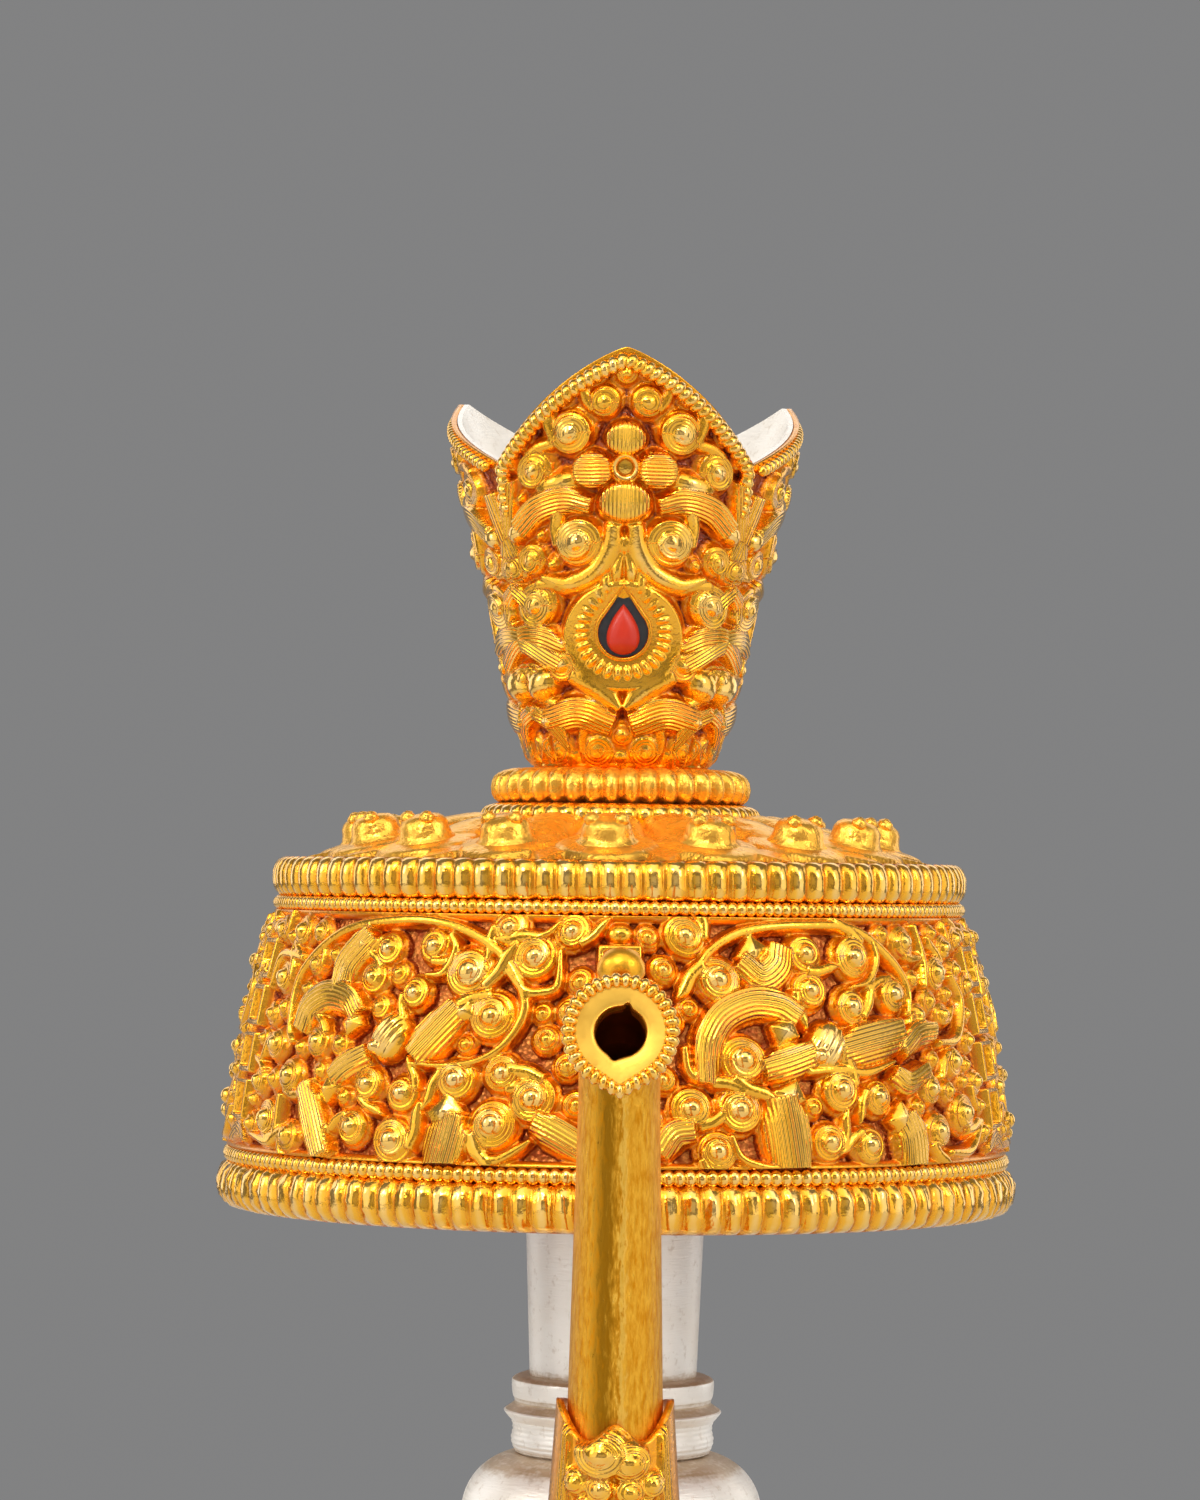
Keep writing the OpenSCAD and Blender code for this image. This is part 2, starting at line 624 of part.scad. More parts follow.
module canopy_upper_ring() {
  color(gilt) translate([0, 0, z_upper_ring])
    ribbed_ring(liner_top_r + trim_gap, liner_top_r + upper_ring_d, upper_ring_h, upper_ring_ribs);
}

module canopy_upper_wire() {
  color(gilt) fine_wire(liner_top_r + trim_gap + fine_wire_r, z_upper_ring - trim_gap - fine_wire_r);
}

module canopy_liner() {
  color(red_tone) rotate_extrude() polygon(concat(
    [[liner_top_r, z_rim - plate_t]], band_line(band_t + trim_gap),
    [[liner_foot_r, z_lower_ring + 0.5], [liner_foot_r - band_t, z_lower_ring + 0.5]],
    reversed(band_line(2 * band_t + trim_gap)),
    [[liner_top_r - band_t, z_rim - plate_t]]));
}

// Snail curls of half a panel: place across and up from the panel's centre, and boss radius.
band_mid = (z_band + z_band_foot) / 2;
snails = [[5.2, 5.4, 2.2], [5.2, -5.4, 2.2], [9.6, 0, 1.5], [15.6, 9.6, 2.1], [15.6, -9.6, 2.1],
  [18.6, 0, 2.2], [23.2, 7.2, 2], [23.2, -7.2, 2]];
pierced = [[2.4, 0, 1.1], [9.8, 4.7, 0.9], [9.8, -4.7, 0.9], [14.6, 4.2, 1], [14.6, -4.2, 1],
  [19.6, 5, 1], [19.6, -5, 1], [22.6, 2.2, 0.9]];

// Children stand on the band's face at a panel place and look straight out of it.
module on_band(panel, across, up) {
  z = band_mid + up;
  r = band_r(z);
  rotate([0, 0, 360 * (panel + 0.5) / panel_count - 90 + across / r * 180 / PI])
    translate([r, 0, z]) rotate([0, 90 - atan((band_bottom_r - band_top_r) / band_h), 0]) children();
}

module canopy_band() {
  color(gilt) difference() {
    rotate_extrude() polygon(concat(band_line(0), reversed(band_line(band_t))));
    for (panel = [0 : panel_count - 1], side = [-1, 1], h = pierced)
      on_band(panel, side * h[0], h[1]) cylinder(r = h[2], h = 4, center = true, $fn = 24);
  }
}

// A thin layer on the band's face, from which the scrollwork is cut.
module relief_layer() {
  rotate_extrude() polygon(concat(band_line(-vine_relief), reversed(band_line(-trim_gap))));
}

// A ring of inner radius r, standing out through the relief layer.
module curl(r) {
  difference() {
    cylinder(r = r + vine_w, h = 8, center = true, $fn = 48);
    cylinder(r = r, h = 9, center = true, $fn = 48);
  }
}

module canopy_scrollwork() {
  bar_h = band_h - 6;
  color(gilt) intersection() {
    relief_layer();
    for (panel = [0 : panel_count - 1]) {
      on_band(panel, 0, 0) curl(vine_r - vine_w);
      for (side = [-1, 1], s = snails) on_band(panel, side * s[0], s[1]) curl(s[2] + 0.3);
      rotate([0, 0, 360 * panel / panel_count - 90])
        translate([band_top_r - 4, -vine_w, band_mid - bar_h / 2]) cube([14, 2 * vine_w, bar_h]);
    }
  }
}

module canopy_snails() {
  color(gilt) for (panel = [0 : panel_count - 1], side = [-1, 1], s = snails)
    on_band(panel, side * s[0], s[1]) translate([0, 0, 2 * trim_gap])
      cylinder(r1 = s[2], r2 = 0.35 * s[2], h = snail_h, $fn = 32);
}

module canopy_lower_wire() {
  color(gilt) fine_wire(liner_foot_r + trim_gap + fine_wire_r, z_band_foot - trim_gap - fine_wire_r);
}

module canopy_lower_ring() {
  color(gilt) translate([0, 0, z_lower_ring])
    ribbed_ring(liner_foot_r + trim_gap, liner_foot_r + lower_ring_d, lower_ring_h, lower_ring_ribs);
}

module canopy_sleeve() {
  inner = max(neck_top_r, neck_bottom_r) + sleeve_clearance;
  color(gilt) translate([0, 0, z_seat - sleeve_h]) difference() {
    cylinder(r = inner + 1, h = sleeve_h);
    translate([0, 0, -1]) cylinder(r = inner, h = sleeve_h + 2);
  }
}

// Crown

// Radius of the crown's outer face at height h above the base ring.
function crown_r(h) = crown_foot_r + crown_flare * h + 0.0006 * h * h - exp(-h / 1.2);

// Slope of the crown's side, as a lean from upright.
function crown_lean(h) = atan(crown_r(h + 0.5) - crown_r(h - 0.5));

// Height of the rim at an angle from the front, for a petal of half angle w and height top.
function petal_rim(from_centre, w, top) = top - (top - valley_h) * pow(abs(from_centre) / w, 1.25);

front_steps = 20;
side_steps = 24;

// Angle and rim height round the crown, starting at the left edge of the front petal.
rim = concat(
  [for (i = [0 : front_steps - 1]) let (a = front_half_angle * (2 * i / front_steps - 1))
    [a, petal_rim(a, front_half_angle, front_petal_h)]],
  [for (c = [side_centre, 360 - side_centre], i = [0 : side_steps - 1])
    let (a = side_half_angle * (2 * i / side_steps - 1))
    [c + a, petal_rim(a, side_half_angle, side_petal_h)]]);

crown_rows = 8;

// One upright sheet of the crown: rows of points from the base ring to the rim, set in by d.
function crown_sheet(d) = [for (j = [0 : crown_rows], p = rim)
  let (h = p[1] * j / crown_rows, r = crown_r(h) - d)
  [r * sin(p[0]), -r * cos(p[0]), z_crown + h]];

module crown_wall(d_out, d_in) {
  n = len(rim);
  m = (crown_rows + 1) * n;
  last = crown_rows * n;
  polyhedron(points = concat(crown_sheet(d_out), crown_sheet(d_in)), faces = concat(
    [for (j = [0 : crown_rows - 1], k = [0 : n - 1]) let (q = (k + 1) % n)
      each [[j * n + q, j * n + k, j * n + n + q], [j * n + n + q, j * n + k, j * n + n + k]]],
    [for (j = [0 : crown_rows - 1], k = [0 : n - 1]) let (q = (k + 1) % n)
      each [[m + j * n + k, m + j * n + q, m + j * n + n + q], [m + j * n + k, m + j * n + n + q, m + j * n + n + k]]],
    [for (k = [0 : n - 1]) let (q = (k + 1) % n) each [[k, q, m + k], [q, m + q, m + k]]],
    [for (k = [0 : n - 1]) let (q = (k + 1) % n)
      each [[last + k, m + last + k, last + q], [last + q, m + last + k, m + last + q]]]));
}

module crown_shell() {
  color(gilt) crown_wall(0, crown_t);
}

module crown_lining() {
  color(silver) crown_wall(crown_t + trim_gap, 2 * crown_t + trim_gap);
}

// Beaded wire that follows the petal edges just outside the shell.
module crown_rim_wire() {
  n = len(rim);
  sides = 6;
  pts = [for (p = rim, k = [0 : sides - 1])
    let (t = k * 360 / sides, h = p[1] - rim_wire_r + rim_wire_r * sin(t))
    let (r = crown_r(p[1]) + trim_gap + rim_wire_r * (1 + cos(t)))
    [r * sin(p[0]), -r * cos(p[0]), z_crown + h]];
  color(gilt) polyhedron(points = pts, faces =
    [for (i = [0 : n - 1], k = [0 : sides - 1])
      let (a = i * sides + k, b = i * sides + (k + 1) % sides)
      let (c = ((i + 1) % n) * sides + (k + 1) % sides, e = ((i + 1) % n) * sides + k)
      each [[a, b, c], [a, c, e]]]);
}

module crown_base_ring() {
  color(gilt) translate([0, 0, z_crown_base])
    ribbed_ring(stem_r + trim_gap, base_ring_r, base_ring_h, base_ring_ribs);
}

module crown_stem() {
  color(silver) translate([0, 0, z_crown_base - stem_h]) difference() {
    cylinder(r = stem_r, h = stem_h + base_ring_h);
    translate([0, 0, -1]) cylinder(r = stem_r - stem_wall, h = stem_h + base_ring_h + 2);
  }
}

// Children are set on each petal's outer face at height h, facing outward, with +X up the face.
module on_petals(h) {
  for (a = [0, side_centre, -side_centre]) rotate([0, 0, a]) translate([0, -crown_r(h) - trim_gap, z_crown + h])
    rotate([90 + crown_lean(h), 0, 0]) rotate([0, 0, 90]) children();
}

// Snail curls of half a petal: angle from the petal's middle, height and boss radius.
crown_snail_places = [[9, 41.5, 1.3], [20, 30, 2], [13, 24.5, 1.6], [28, 21, 1.8], [17, 9, 1.8], [38, 32, 1.6], [38, 12, 1.8]];

module crown_snails() {
  color(gilt) for (c = [0, side_centre, -side_centre], side = [-1, 1], p = crown_snail_places)
    rotate([0, 0, c + side * p[0]]) translate([0, -crown_r(p[1]) - 2 * trim_gap, z_crown + p[1]])
      rotate([90 + crown_lean(p[1]), 0, 0]) cylinder(r1 = p[2], r2 = 0.35 * p[2], h = 0.8 * snail_h, $fn = 32);
}

module stone_bezels() {
  color(gilt) on_petals(stone_z) difference() {
    linear_extrude(height = bezel_h) pear(bezel_r, bezel_point);
    translate([0, 0, -1]) linear_extrude(height = bezel_h + 2) pear(bezel_r - bezel_wall, bezel_point - 1.4 * bezel_wall);
  }
}

module pitch_beds() {
  inset = bezel_wall + trim_gap;
  color(pitch) on_petals(stone_z)
    linear_extrude(height = bed_t) pear(bezel_r - inset, bezel_point - 1.4 * inset);
}

module coral_stones() {
  dome_r = (coral_r * coral_r * 2.4 + coral_h * coral_h) / (2 * coral_h);
  color(coral) on_petals(stone_z) translate([0, 0, bed_t + trim_gap]) intersection() {
    linear_extrude(height = coral_h) pear(coral_r, 1.75 * coral_r);
    translate([0.3, 0, coral_h - dome_r]) sphere(r = dome_r);
  }
}

module flowers() {
  lobe_r = 0.42 * flower_r;
  collet_r = 0.45 * flower_r;
  color(gilt) on_petals(flower_z) difference() {
    union() {
      linear_extrude(height = flower_t) union() {
        for (a = [0 : 90 : 270]) rotate(a) translate([flower_r - lobe_r, 0]) circle(r = lobe_r, $fn = 32);
        circle(r = 0.6 * flower_r, $fn = 32);
      }
      cylinder(r = collet_r, h = flower_t + 0.9, $fn = 32);
    }
    translate([0, 0, 0.4]) cylinder(r = 0.7 * collet_r, h = flower_t + 2, $fn = 32);
  }
}

base_plate();
foot();
foot_petals();
foot_lower_ring();
foot_upper_ring();
belly_bowl();
belly_dome();
neck_knop();
neck_collar();
neck_tube();
spout_root();
spout_socket();
spout_scroll();
spout_tube();
spout_mouth();
spout_beaded_rim();
spout_finial();
canopy_top_plate();
canopy_petals();
canopy_bosses();
canopy_seat_ring();
canopy_upper_ring();
canopy_upper_wire();
canopy_liner();
canopy_band();
canopy_scrollwork();
canopy_snails();
canopy_lower_wire();
canopy_lower_ring();
canopy_sleeve();
crown_shell();
crown_lining();
crown_rim_wire();
crown_base_ring();
crown_stem();
crown_snails();
stone_bezels();
pitch_beds();
coral_stones();
flowers();
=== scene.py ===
"""Looks of the ritual vase: a gilt canopy, crown, spout and foot, chased all over, on a satin silver body.

Shapes are worked out in millimetres in the part's own frame: Z up along the axis, the spout towards -Y.
"""
import math

import bpy
import numpy as np
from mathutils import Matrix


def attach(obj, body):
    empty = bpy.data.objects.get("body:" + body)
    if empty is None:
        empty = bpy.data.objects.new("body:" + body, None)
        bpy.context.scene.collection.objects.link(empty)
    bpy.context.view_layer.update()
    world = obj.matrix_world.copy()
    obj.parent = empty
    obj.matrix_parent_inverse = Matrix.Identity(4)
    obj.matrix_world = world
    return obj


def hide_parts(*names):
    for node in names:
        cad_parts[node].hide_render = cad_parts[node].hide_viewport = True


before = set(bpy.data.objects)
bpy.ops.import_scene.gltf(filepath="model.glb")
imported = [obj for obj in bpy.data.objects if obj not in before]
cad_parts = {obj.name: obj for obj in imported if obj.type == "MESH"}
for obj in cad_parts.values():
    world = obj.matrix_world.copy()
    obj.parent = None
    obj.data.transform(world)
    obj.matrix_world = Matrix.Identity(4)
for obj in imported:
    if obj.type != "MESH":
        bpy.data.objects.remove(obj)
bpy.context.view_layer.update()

MM = 0.001
PI = math.pi
COARSE = 1

# Heights of the part that the finer shapes sit on, and the bore that neck, collar and knop share
Z_SEAM, Z_KNOP, Z_COLLAR, Z_NECK, Z_SEAT = 65.5, 105.0, 117.0, 126.7, 193.5
Z_HUB, Z_BAND, Z_BAND_FOOT, Z_CROWN = 194.5, 184.25, 155.05, 201.75
NECK_BORE = 9.2


# Meshes

def circle(count):
    """Angles of a full turn in even steps."""
    return np.linspace(0, 2 * PI, count, endpoint=False)


def wrapped(a):
    """Angles carried into the half turn to each side of zero."""
    return (np.asarray(a) + PI) % (2 * PI) - PI


def joined(*parts):
    """Points from arrays of x, y and z of shapes that go together."""
    return np.stack(np.broadcast_arrays(*parts), -1)


def from_front(a, r, z):
    """Points at an angle from the front, a radius and a height."""
    return joined(r * np.sin(a), -r * np.cos(a), z)


def from_side(a, r, z):
    """Points at an angle from +X, a radius and a height."""
    return joined(r * np.cos(a), r * np.sin(a), z)


def smooth(x, low, high):
    """0 below low, 1 above high and an S curve between."""
    t = np.clip((x - low) / (high - low), 0, 1)
    return t * t * (3 - 2 * t)


def arc(x, y, rx, ry, a0, a1, n):
    """Points of an elliptical arc between two angles in degrees."""
    a = np.radians(np.linspace(a0, a1, n))
    return joined(x + rx * np.cos(a), y + ry * np.sin(a))


def curve_through(points, n):
    """n points of a smooth curve through the given ones, by a cubic between each pair with shared slopes."""
    p = np.asarray(points, dtype=float)
    p = np.concatenate([2 * p[:1] - p[1:2], p, 2 * p[-1:] - p[-2:-1]])
    t = np.linspace(0, len(p) - 3 - 1e-6, n)
    k = t.astype(int)
    f = (t - k)[:, None]
    a, b, c, d = p[k], p[k + 1], p[k + 2], p[k + 3]
    bend, twist = 2 * a - 5 * b + 4 * c - d, 3 * b - a - 3 * c + d
    return 0.5 * (2 * b + (c - a) * f + bend * f ** 2 + twist * f ** 3)


def edged(x, before, after):
    """A grid with its first and last column repeated."""
    return np.pad(x, ((0, 0), (before, after)), mode="edge")


def grid_quads(rows, cols, around=False, across=False):
    """Four corners of each cell of a grid; around joins the last row to the first, across the columns."""
    index = np.arange(rows * cols).reshape(rows, cols)
    if around:
        index = np.concatenate([index, index[:1]], 0)
    if across:
        index = np.concatenate([index, index[:, :1]], 1)
    return np.stack([index[:-1, :-1], index[1:, :-1], index[1:, 1:], index[:-1, 1:]], -1).reshape(-1, 4)


def new_object(name, data):
    """A new object in the scene."""
    made = bpy.data.objects.new(name, data)
    bpy.context.collection.objects.link(made)
    return made


def mesh_piece(name, points, quads, sharp=None, **layers):
    """Object at the origin from points in millimetres and rows of four corners; layers hold point values."""
    mesh = bpy.data.meshes.new(name)
    mesh.vertices.add(len(points))
    mesh.vertices.foreach_set("co", (points * MM).astype(np.float32).ravel())
    mesh.loops.add(quads.size)
    mesh.loops.foreach_set("vertex_index", quads.astype(np.int32).ravel())
    mesh.polygons.add(len(quads))
    mesh.polygons.foreach_set("loop_start", np.arange(0, quads.size, 4, dtype=np.int32))
    mesh.polygons.foreach_set("use_smooth", np.ones(len(quads), dtype=bool))
    mesh.update(calc_edges=True)
    if sharp:
        mesh.set_sharp_from_angle(angle=math.radians(sharp))
    for key, value in {"rise": 1.0, "line": 0.0, "cut": 0.0, **layers}.items():
        data = np.broadcast_to(np.ravel(value).astype(np.float32), len(points))
        mesh.attributes.new(key, "FLOAT", "POINT").data.foreach_set("value", np.ascontiguousarray(data))
    return new_object(name, mesh)


def surface(name, points, around=False, across=False, flip=False, sharp=None, **layers):
    """Quads over a grid of points, turned over by flip."""
    quads = grid_quads(*points.shape[:2], around, across)
    layers = {key: np.broadcast_to(value, points.shape[:2]) for key, value in layers.items()}
    return mesh_piece(name, points.reshape(-1, 3), quads[:, ::-1] if flip else quads, sharp, **layers)


def place(piece, body, slot, finish, *nodes):
    """Gives a piece its finish and its body, and hides the part nodes that it stands for."""
    piece.data.materials.append(finish)
    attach(piece, body)
    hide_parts(*nodes)


def gilded(piece, body, *nodes, finish=None):
    """Places a gilt piece, chased unless another finish is given."""
    place(piece, body, "gilt", finish or GILT, *nodes)


def chased_sheets(parts, points, layers, body, *nodes):
    """Cuts a chased sheet into named runs of columns and gilds each."""
    for name, part in parts:
        rise, line, cut = (x[part] for x in layers)
        gilded(surface(name, points[part], rise=rise, line=line, cut=cut), body, *nodes)


def silvered(name, profile, node, steps=128, finish=None, body="vase", **layers):
    """Places a silver piece: a closed profile of (radius, height) points turned once about the axis."""
    profile = np.asarray(profile, dtype=float)
    points = from_side(circle(steps)[:, None], profile[:, 0], profile[:, 1])
    piece = surface(name, points, around=True, across=True, sharp=30, **layers)
    place(piece, body, "silver", finish or SILVER, node)


# Chased relief

def tilted(u, v, degrees):
    """Offsets along and across a direction at an angle."""
    c, s = math.cos(math.radians(degrees)), math.sin(math.radians(degrees))
    return u * c + v * s, v * c - u * s


def steps_from(mask, most):
    """Grid steps, up to most, from each point to the nearest of a mask, which grows a step at a time."""
    away = np.zeros(mask.shape)
    for _ in range(most):
        away += ~mask
        grown = mask.copy()
        grown[1:] |= mask[:-1]
        grown[:-1] |= mask[1:]
        grown[:, 1:] |= mask[:, :-1]
        grown[:, :-1] |= mask[:, 1:]
        mask = grown
    return away


# Pitch and depth of the engraved turns of a curl, and the height up to which the ground counts as bare
SPIRAL_PITCH, SPIRAL_CUT = 0.42, 0.42
BARE = 0.02


class Relief:
    """Heights over a sheet that runs round the axis; a motif keeps the higher of the old height and its own.

    angle is one value for each column, up and radius one for each point. u is measured round the sheet and v
    up it, in millimetres from the middle of the panel that is being worked. line and cut drive the engraving:
    line counts the strokes across a motif, and cut is how deep they go.
    """

    def __init__(self, angle, up, radius):
        self.angle, self.up, self.radius = angle, up, radius
        self.high, self.line, self.cut = (np.zeros_like(up) for _ in range(3))
        self.at(0, 0)

    def at(self, angle, up, wide=1.0, mirror=1):
        """Moves the panel's middle; wide stretches u, and a mirror of -1 turns it round."""
        self.a0, self.v0, self.wide, self.hand = angle, up, wide, mirror

    def near(self, u, v, reach):
        """The columns round a place and every point's offset from it."""
        r = self.radius[:, self.radius.shape[1] // 2].mean()
        turn = wrapped(self.angle - self.a0)
        cols = np.nonzero(np.abs(turn * r * self.hand / self.wide - u) < reach * 1.35 + 1)[0]
        du = turn[cols][:, None] * self.radius[cols] * self.hand / self.wide - u
        return cols, du, self.up[cols] - self.v0 - v

    def lay(self, cols, inside, high, line=0.0, cut=0.0):
        """Keeps a motif where it is inside its outline and above what is there."""
        take = inside & (high > self.high[cols])
        for grid, value in ((self.high, high), (self.line, line), (self.cut, cut)):
            grid[cols] = np.where(take, value, grid[cols])

    def snail(self, u, v, r, high=1.6, turns=2.0, start=0.0, base=0.3, ball=0.36, tail=None):
        """A cone wound as a snail shell, with a ball at its tip: the cone falls by a step at each turn.

        tail is the angle at which its outer turn leaves it as a short curved arm.
        """
        cols, du, dv = self.near(u, v, r)
        d, turn = np.hypot(du, dv), np.arctan2(dv, du) / (2 * PI)
        k = d / r
        wind = k * turns - turn + start
        step = wind - np.floor(wind) - 0.5
        tip = max(ball * r, 0.5)
        cone = high * (base + (0.95 - base) * (1 - k)) * (1 - smooth(k, 0.86, 1.04))
        cone = cone + 0.26 * high * step * smooth(d, tip, 1.3 * tip) * (1 - smooth(k, 0.85, 1.0))
        knob = 0.7 * high + 0.72 * tip * np.sqrt(np.clip(1 - (d / tip) ** 2, 0, 1))
        whole = np.where(d < tip, np.maximum(cone, knob), cone)
        cut = np.where((d > 1.2 * tip) & (k < 0.95), SPIRAL_CUT, 0.0)
        self.lay(cols, k < 1.04, whole, d / SPIRAL_PITCH - turn, cut)
        if tail is not None:
            arm = [(u + q * r * math.cos(tail + w), v + q * r * math.sin(tail + w))
                   for q, w in ((0.82, 0), (1.08, 0.6), (1.45, 1.0), (1.9, 1.15))]
            self.ribbon(arm, 0.34 * r, 0.62 * high, lines=0, ends=(0.9, 0.3), bowl=0.8)

    def dome(self, u, v, ru, rv, high, tilt=0.0, ribs=0.0, power=0.5, lines=0.0):
        """An oval boss, smooth, with ribs across it, or engraved with lines across it."""
        cols, du, dv = self.near(u, v, max(ru, rv))
        p, q = tilted(du, dv, tilt)
        k = (p / ru) ** 2 + (q / rv) ** 2
        body = high * np.clip(1 - k, 0, 1) ** power
        if ribs:
            body = body * (0.86 + 0.14 * np.abs(np.sin(PI * p / ribs)))
        self.lay(cols, k < 1, body, p / lines if lines else 0.0, 1.0 * (k < 0.9) if lines else 0.0)

    def ribbon(self, path, width, high, lines=0.45, ends=(0.5, 0.35), bowl=0.35, lean=0.0):
        """A strip along a curve, engraved along its length; its half width shrinks to a share at each end.

        bowl rounds its section, and lean lifts one long edge over the other.
        """
        n = max(30, int(4 * np.linalg.norm(np.diff(np.asarray(path, dtype=float), axis=0), axis=1).sum()))
        p = curve_through(path, n)
        t = np.gradient(p, axis=0)
        t /= np.linalg.norm(t, axis=1)[:, None]
        share = np.linspace(0, 1, n)
        half = width * np.minimum(1, np.minimum(ends[0] + (1 - ends[0]) * share / 0.3,
                                                ends[1] + (1 - ends[1]) * (1 - share) / 0.3))
        middle = (p.min(0) + p.max(0)) / 2
        cols, du, dv = self.near(middle[0], middle[1], np.abs(p - middle).max() + width)
        best = np.full(du.shape, 1e9)
        side, along, beyond = (np.zeros_like(best) for _ in range(3))
        for i in range(n):
            x, y = du + middle[0] - p[i, 0], dv + middle[1] - p[i, 1]
            d = x * x + y * y
            closer = d < best
            best = np.where(closer, d, best)
            side = np.where(closer, (x * -t[i, 1] + y * t[i, 0]) / half[i], side)
            along = np.where(closer, i / (n - 1), along)
            past = x * t[i, 0] + y * t[i, 1]
            beyond = np.where(closer, -past if i == 0 else past if i == n - 1 else 0.0, beyond)
        here = np.interp(along, share, half)
        inside = (np.sqrt(best) < here * 1.02) & (beyond < 0.4 * here)
        body = high * (1 - bowl + bowl * np.sqrt(np.clip(1 - side ** 2, 0, 1)) + lean * side)
        body = body * (1 - smooth(np.abs(side), 0.82, 1.02))
        strokes = (side * here / lines, 1.0 * (np.abs(side) < 0.85)) if lines else ()
        self.lay(cols, inside, body, *strokes)

    def facet(self, u, v, r, high, tilt=40):
        """A cut end: a low four-sided point, left plain."""
        cols, du, dv = self.near(u, v, r * 1.3)
        p, q = tilted(du, dv, tilt)
        k = np.maximum(np.abs(p), 1.25 * np.abs(q)) / r
        self.lay(cols, k < 1, high * (1.05 - 0.5 * k))

    def bar(self, u, v, half, high, rim):
        """A square frame with a sunk middle."""
        cols, du, dv = self.near(u, v, half)
        k = np.maximum(np.abs(du), np.abs(dv)) - half
        self.lay(cols, k < 0, high * np.where(k > -rim, 1.0, 0.15))

    def sink(self, depth, skirt, fall):
        """Leaves a low skirt of so many steps round every motif and sinks the ground beyond it."""
        bare = self.high <= BARE
        away = steps_from(~bare, skirt + fall)
        hem = 0.5 * np.clip(1 - away / max(skirt, 1), 0, 1) ** 1.4
        pit = smooth(away, skirt, skirt + fall)
        self.high = np.where(bare, np.where(away < skirt, hem, 0) - depth * pit, self.high)

    def fill_gaps(self, cell, least, most, count, first, last):
        """Sets small curls in the widest gaps left between the given columns, widest first."""
        for i in range(count):
            taken = self.high[first:last] > BARE
            taken[:, :3] = taken[:, -3:] = True
            taken[:3] = taken[-3:] = True
            away = steps_from(taken, int(2.2 * most / cell))
            col, row = np.unravel_index(np.argmax(away), away.shape)
            r = min(most, 0.82 * away[col, row] * cell)
            if r < least:
                return
            turn = wrapped(self.angle[first + col] - self.a0)
            u = turn * self.radius[first + col, row] * self.hand / self.wide
            v = self.up[first + col, row] - self.v0
            self.snail(u, v, r, high=0.75 + 0.45 * r, turns=1.5, start=0.31 * i)

    def soften(self):
        """Each height moves towards the mean of its neighbours, as gilding fills sharp corners."""
        h = np.pad(self.high, 1, mode="edge")
        self.high = 0.5 * self.high + 0.125 * (h[:-2, 1:-1] + h[2:, 1:-1] + h[1:-1, :-2] + h[1:-1, 2:])


# Finishes

class Nodes:
    """Adds nodes to one tree; an input that is given a socket is linked, and any other value is set on it."""

    def __init__(self, tree):
        self.tree = tree

    def give(self, target, value):
        """Links a socket to an input, or sets the input."""
        if isinstance(value, bpy.types.NodeSocket):
            self.tree.links.new(value, target)
        else:
            target.default_value = value

    def add(self, kind, inputs=None, **settings):
        """A node with its settings and some of its inputs, by name or number."""
        node = self.tree.nodes.new("ShaderNode" + kind)
        for key, value in settings.items():
            setattr(node, key, value)
        for key, value in (inputs or {}).items():
            self.give(node.inputs[key], value)
        return node

    def where(self):
        """Object coordinates."""
        return self.add("TexCoord").outputs["Object"]

    def attribute(self, name):
        """A layer of the piece."""
        return self.add("Attribute", attribute_name=name).outputs["Fac"]

    def noise(self, where, scale, detail, rough=0.5):
        """Soft patches."""
        inputs = {"Vector": where, "Scale": scale, "Detail": detail, "Roughness": rough}
        return self.add("TexNoise", inputs).outputs["Fac"]

    def dots(self, scale):
        """Distance to the nearest of many scattered points."""
        return self.add("TexVoronoi", {"Vector": self.where(), "Scale": scale}).outputs["Distance"]

    def mixed(self, share, a, b):
        """Colour between a and b by a share."""
        a, b = ((*c, 1.0) if isinstance(c, tuple) else c for c in (a, b))
        return self.add("Mix", {0: share, 6: a, 7: b}, data_type="RGBA").outputs[2]

    def ranged(self, value, low, high, to_low=0.0, to_high=1.0):
        """A value carried from one range to another."""
        return self.add("MapRange", {0: value, 1: low, 2: high, 3: to_low, 4: to_high}).outputs[0]

    def math(self, operation, *values):
        """One step of arithmetic."""
        return self.add("Math", dict(enumerate(values)), operation=operation).outputs[0]

    def plus(self, a, b):
        """a and b added."""
        return self.math("ADD", a, b)

    def times(self, a, b):
        """a and b multiplied."""
        return self.math("MULTIPLY", a, b)

    def bump(self, height):
        """Normal of a surface raised by a height in metres."""
        return self.add("Bump", {"Strength": 1.0, "Distance": 1.0, "Height": height}).outputs["Normal"]

    def patchy(self, cloud, grain=(1500.0, 3.0), heights=(0.0, 0.0), stretch=(1.0, 1.0, 1.0), damp=1.0):
        """Cloud, grain and normal of the patchy skin, from the scale, detail and height of the first two."""
        values = (*cloud, *grain, stretch, *heights, damp)
        inputs = dict(zip((label for label, _ in PATCHY_INPUTS), values))
        return self.add("Group", inputs, node_tree=PATCHY).outputs[:]


PATCHY_INPUTS = (
    ("Cloud Scale", "Float"), ("Cloud Detail", "Float"), ("Grain Scale", "Float"), ("Grain Detail", "Float"),
    ("Grain Stretch", "Vector"), ("Cloud Height", "Float"), ("Grain Height", "Float"), ("Damp", "Float"))


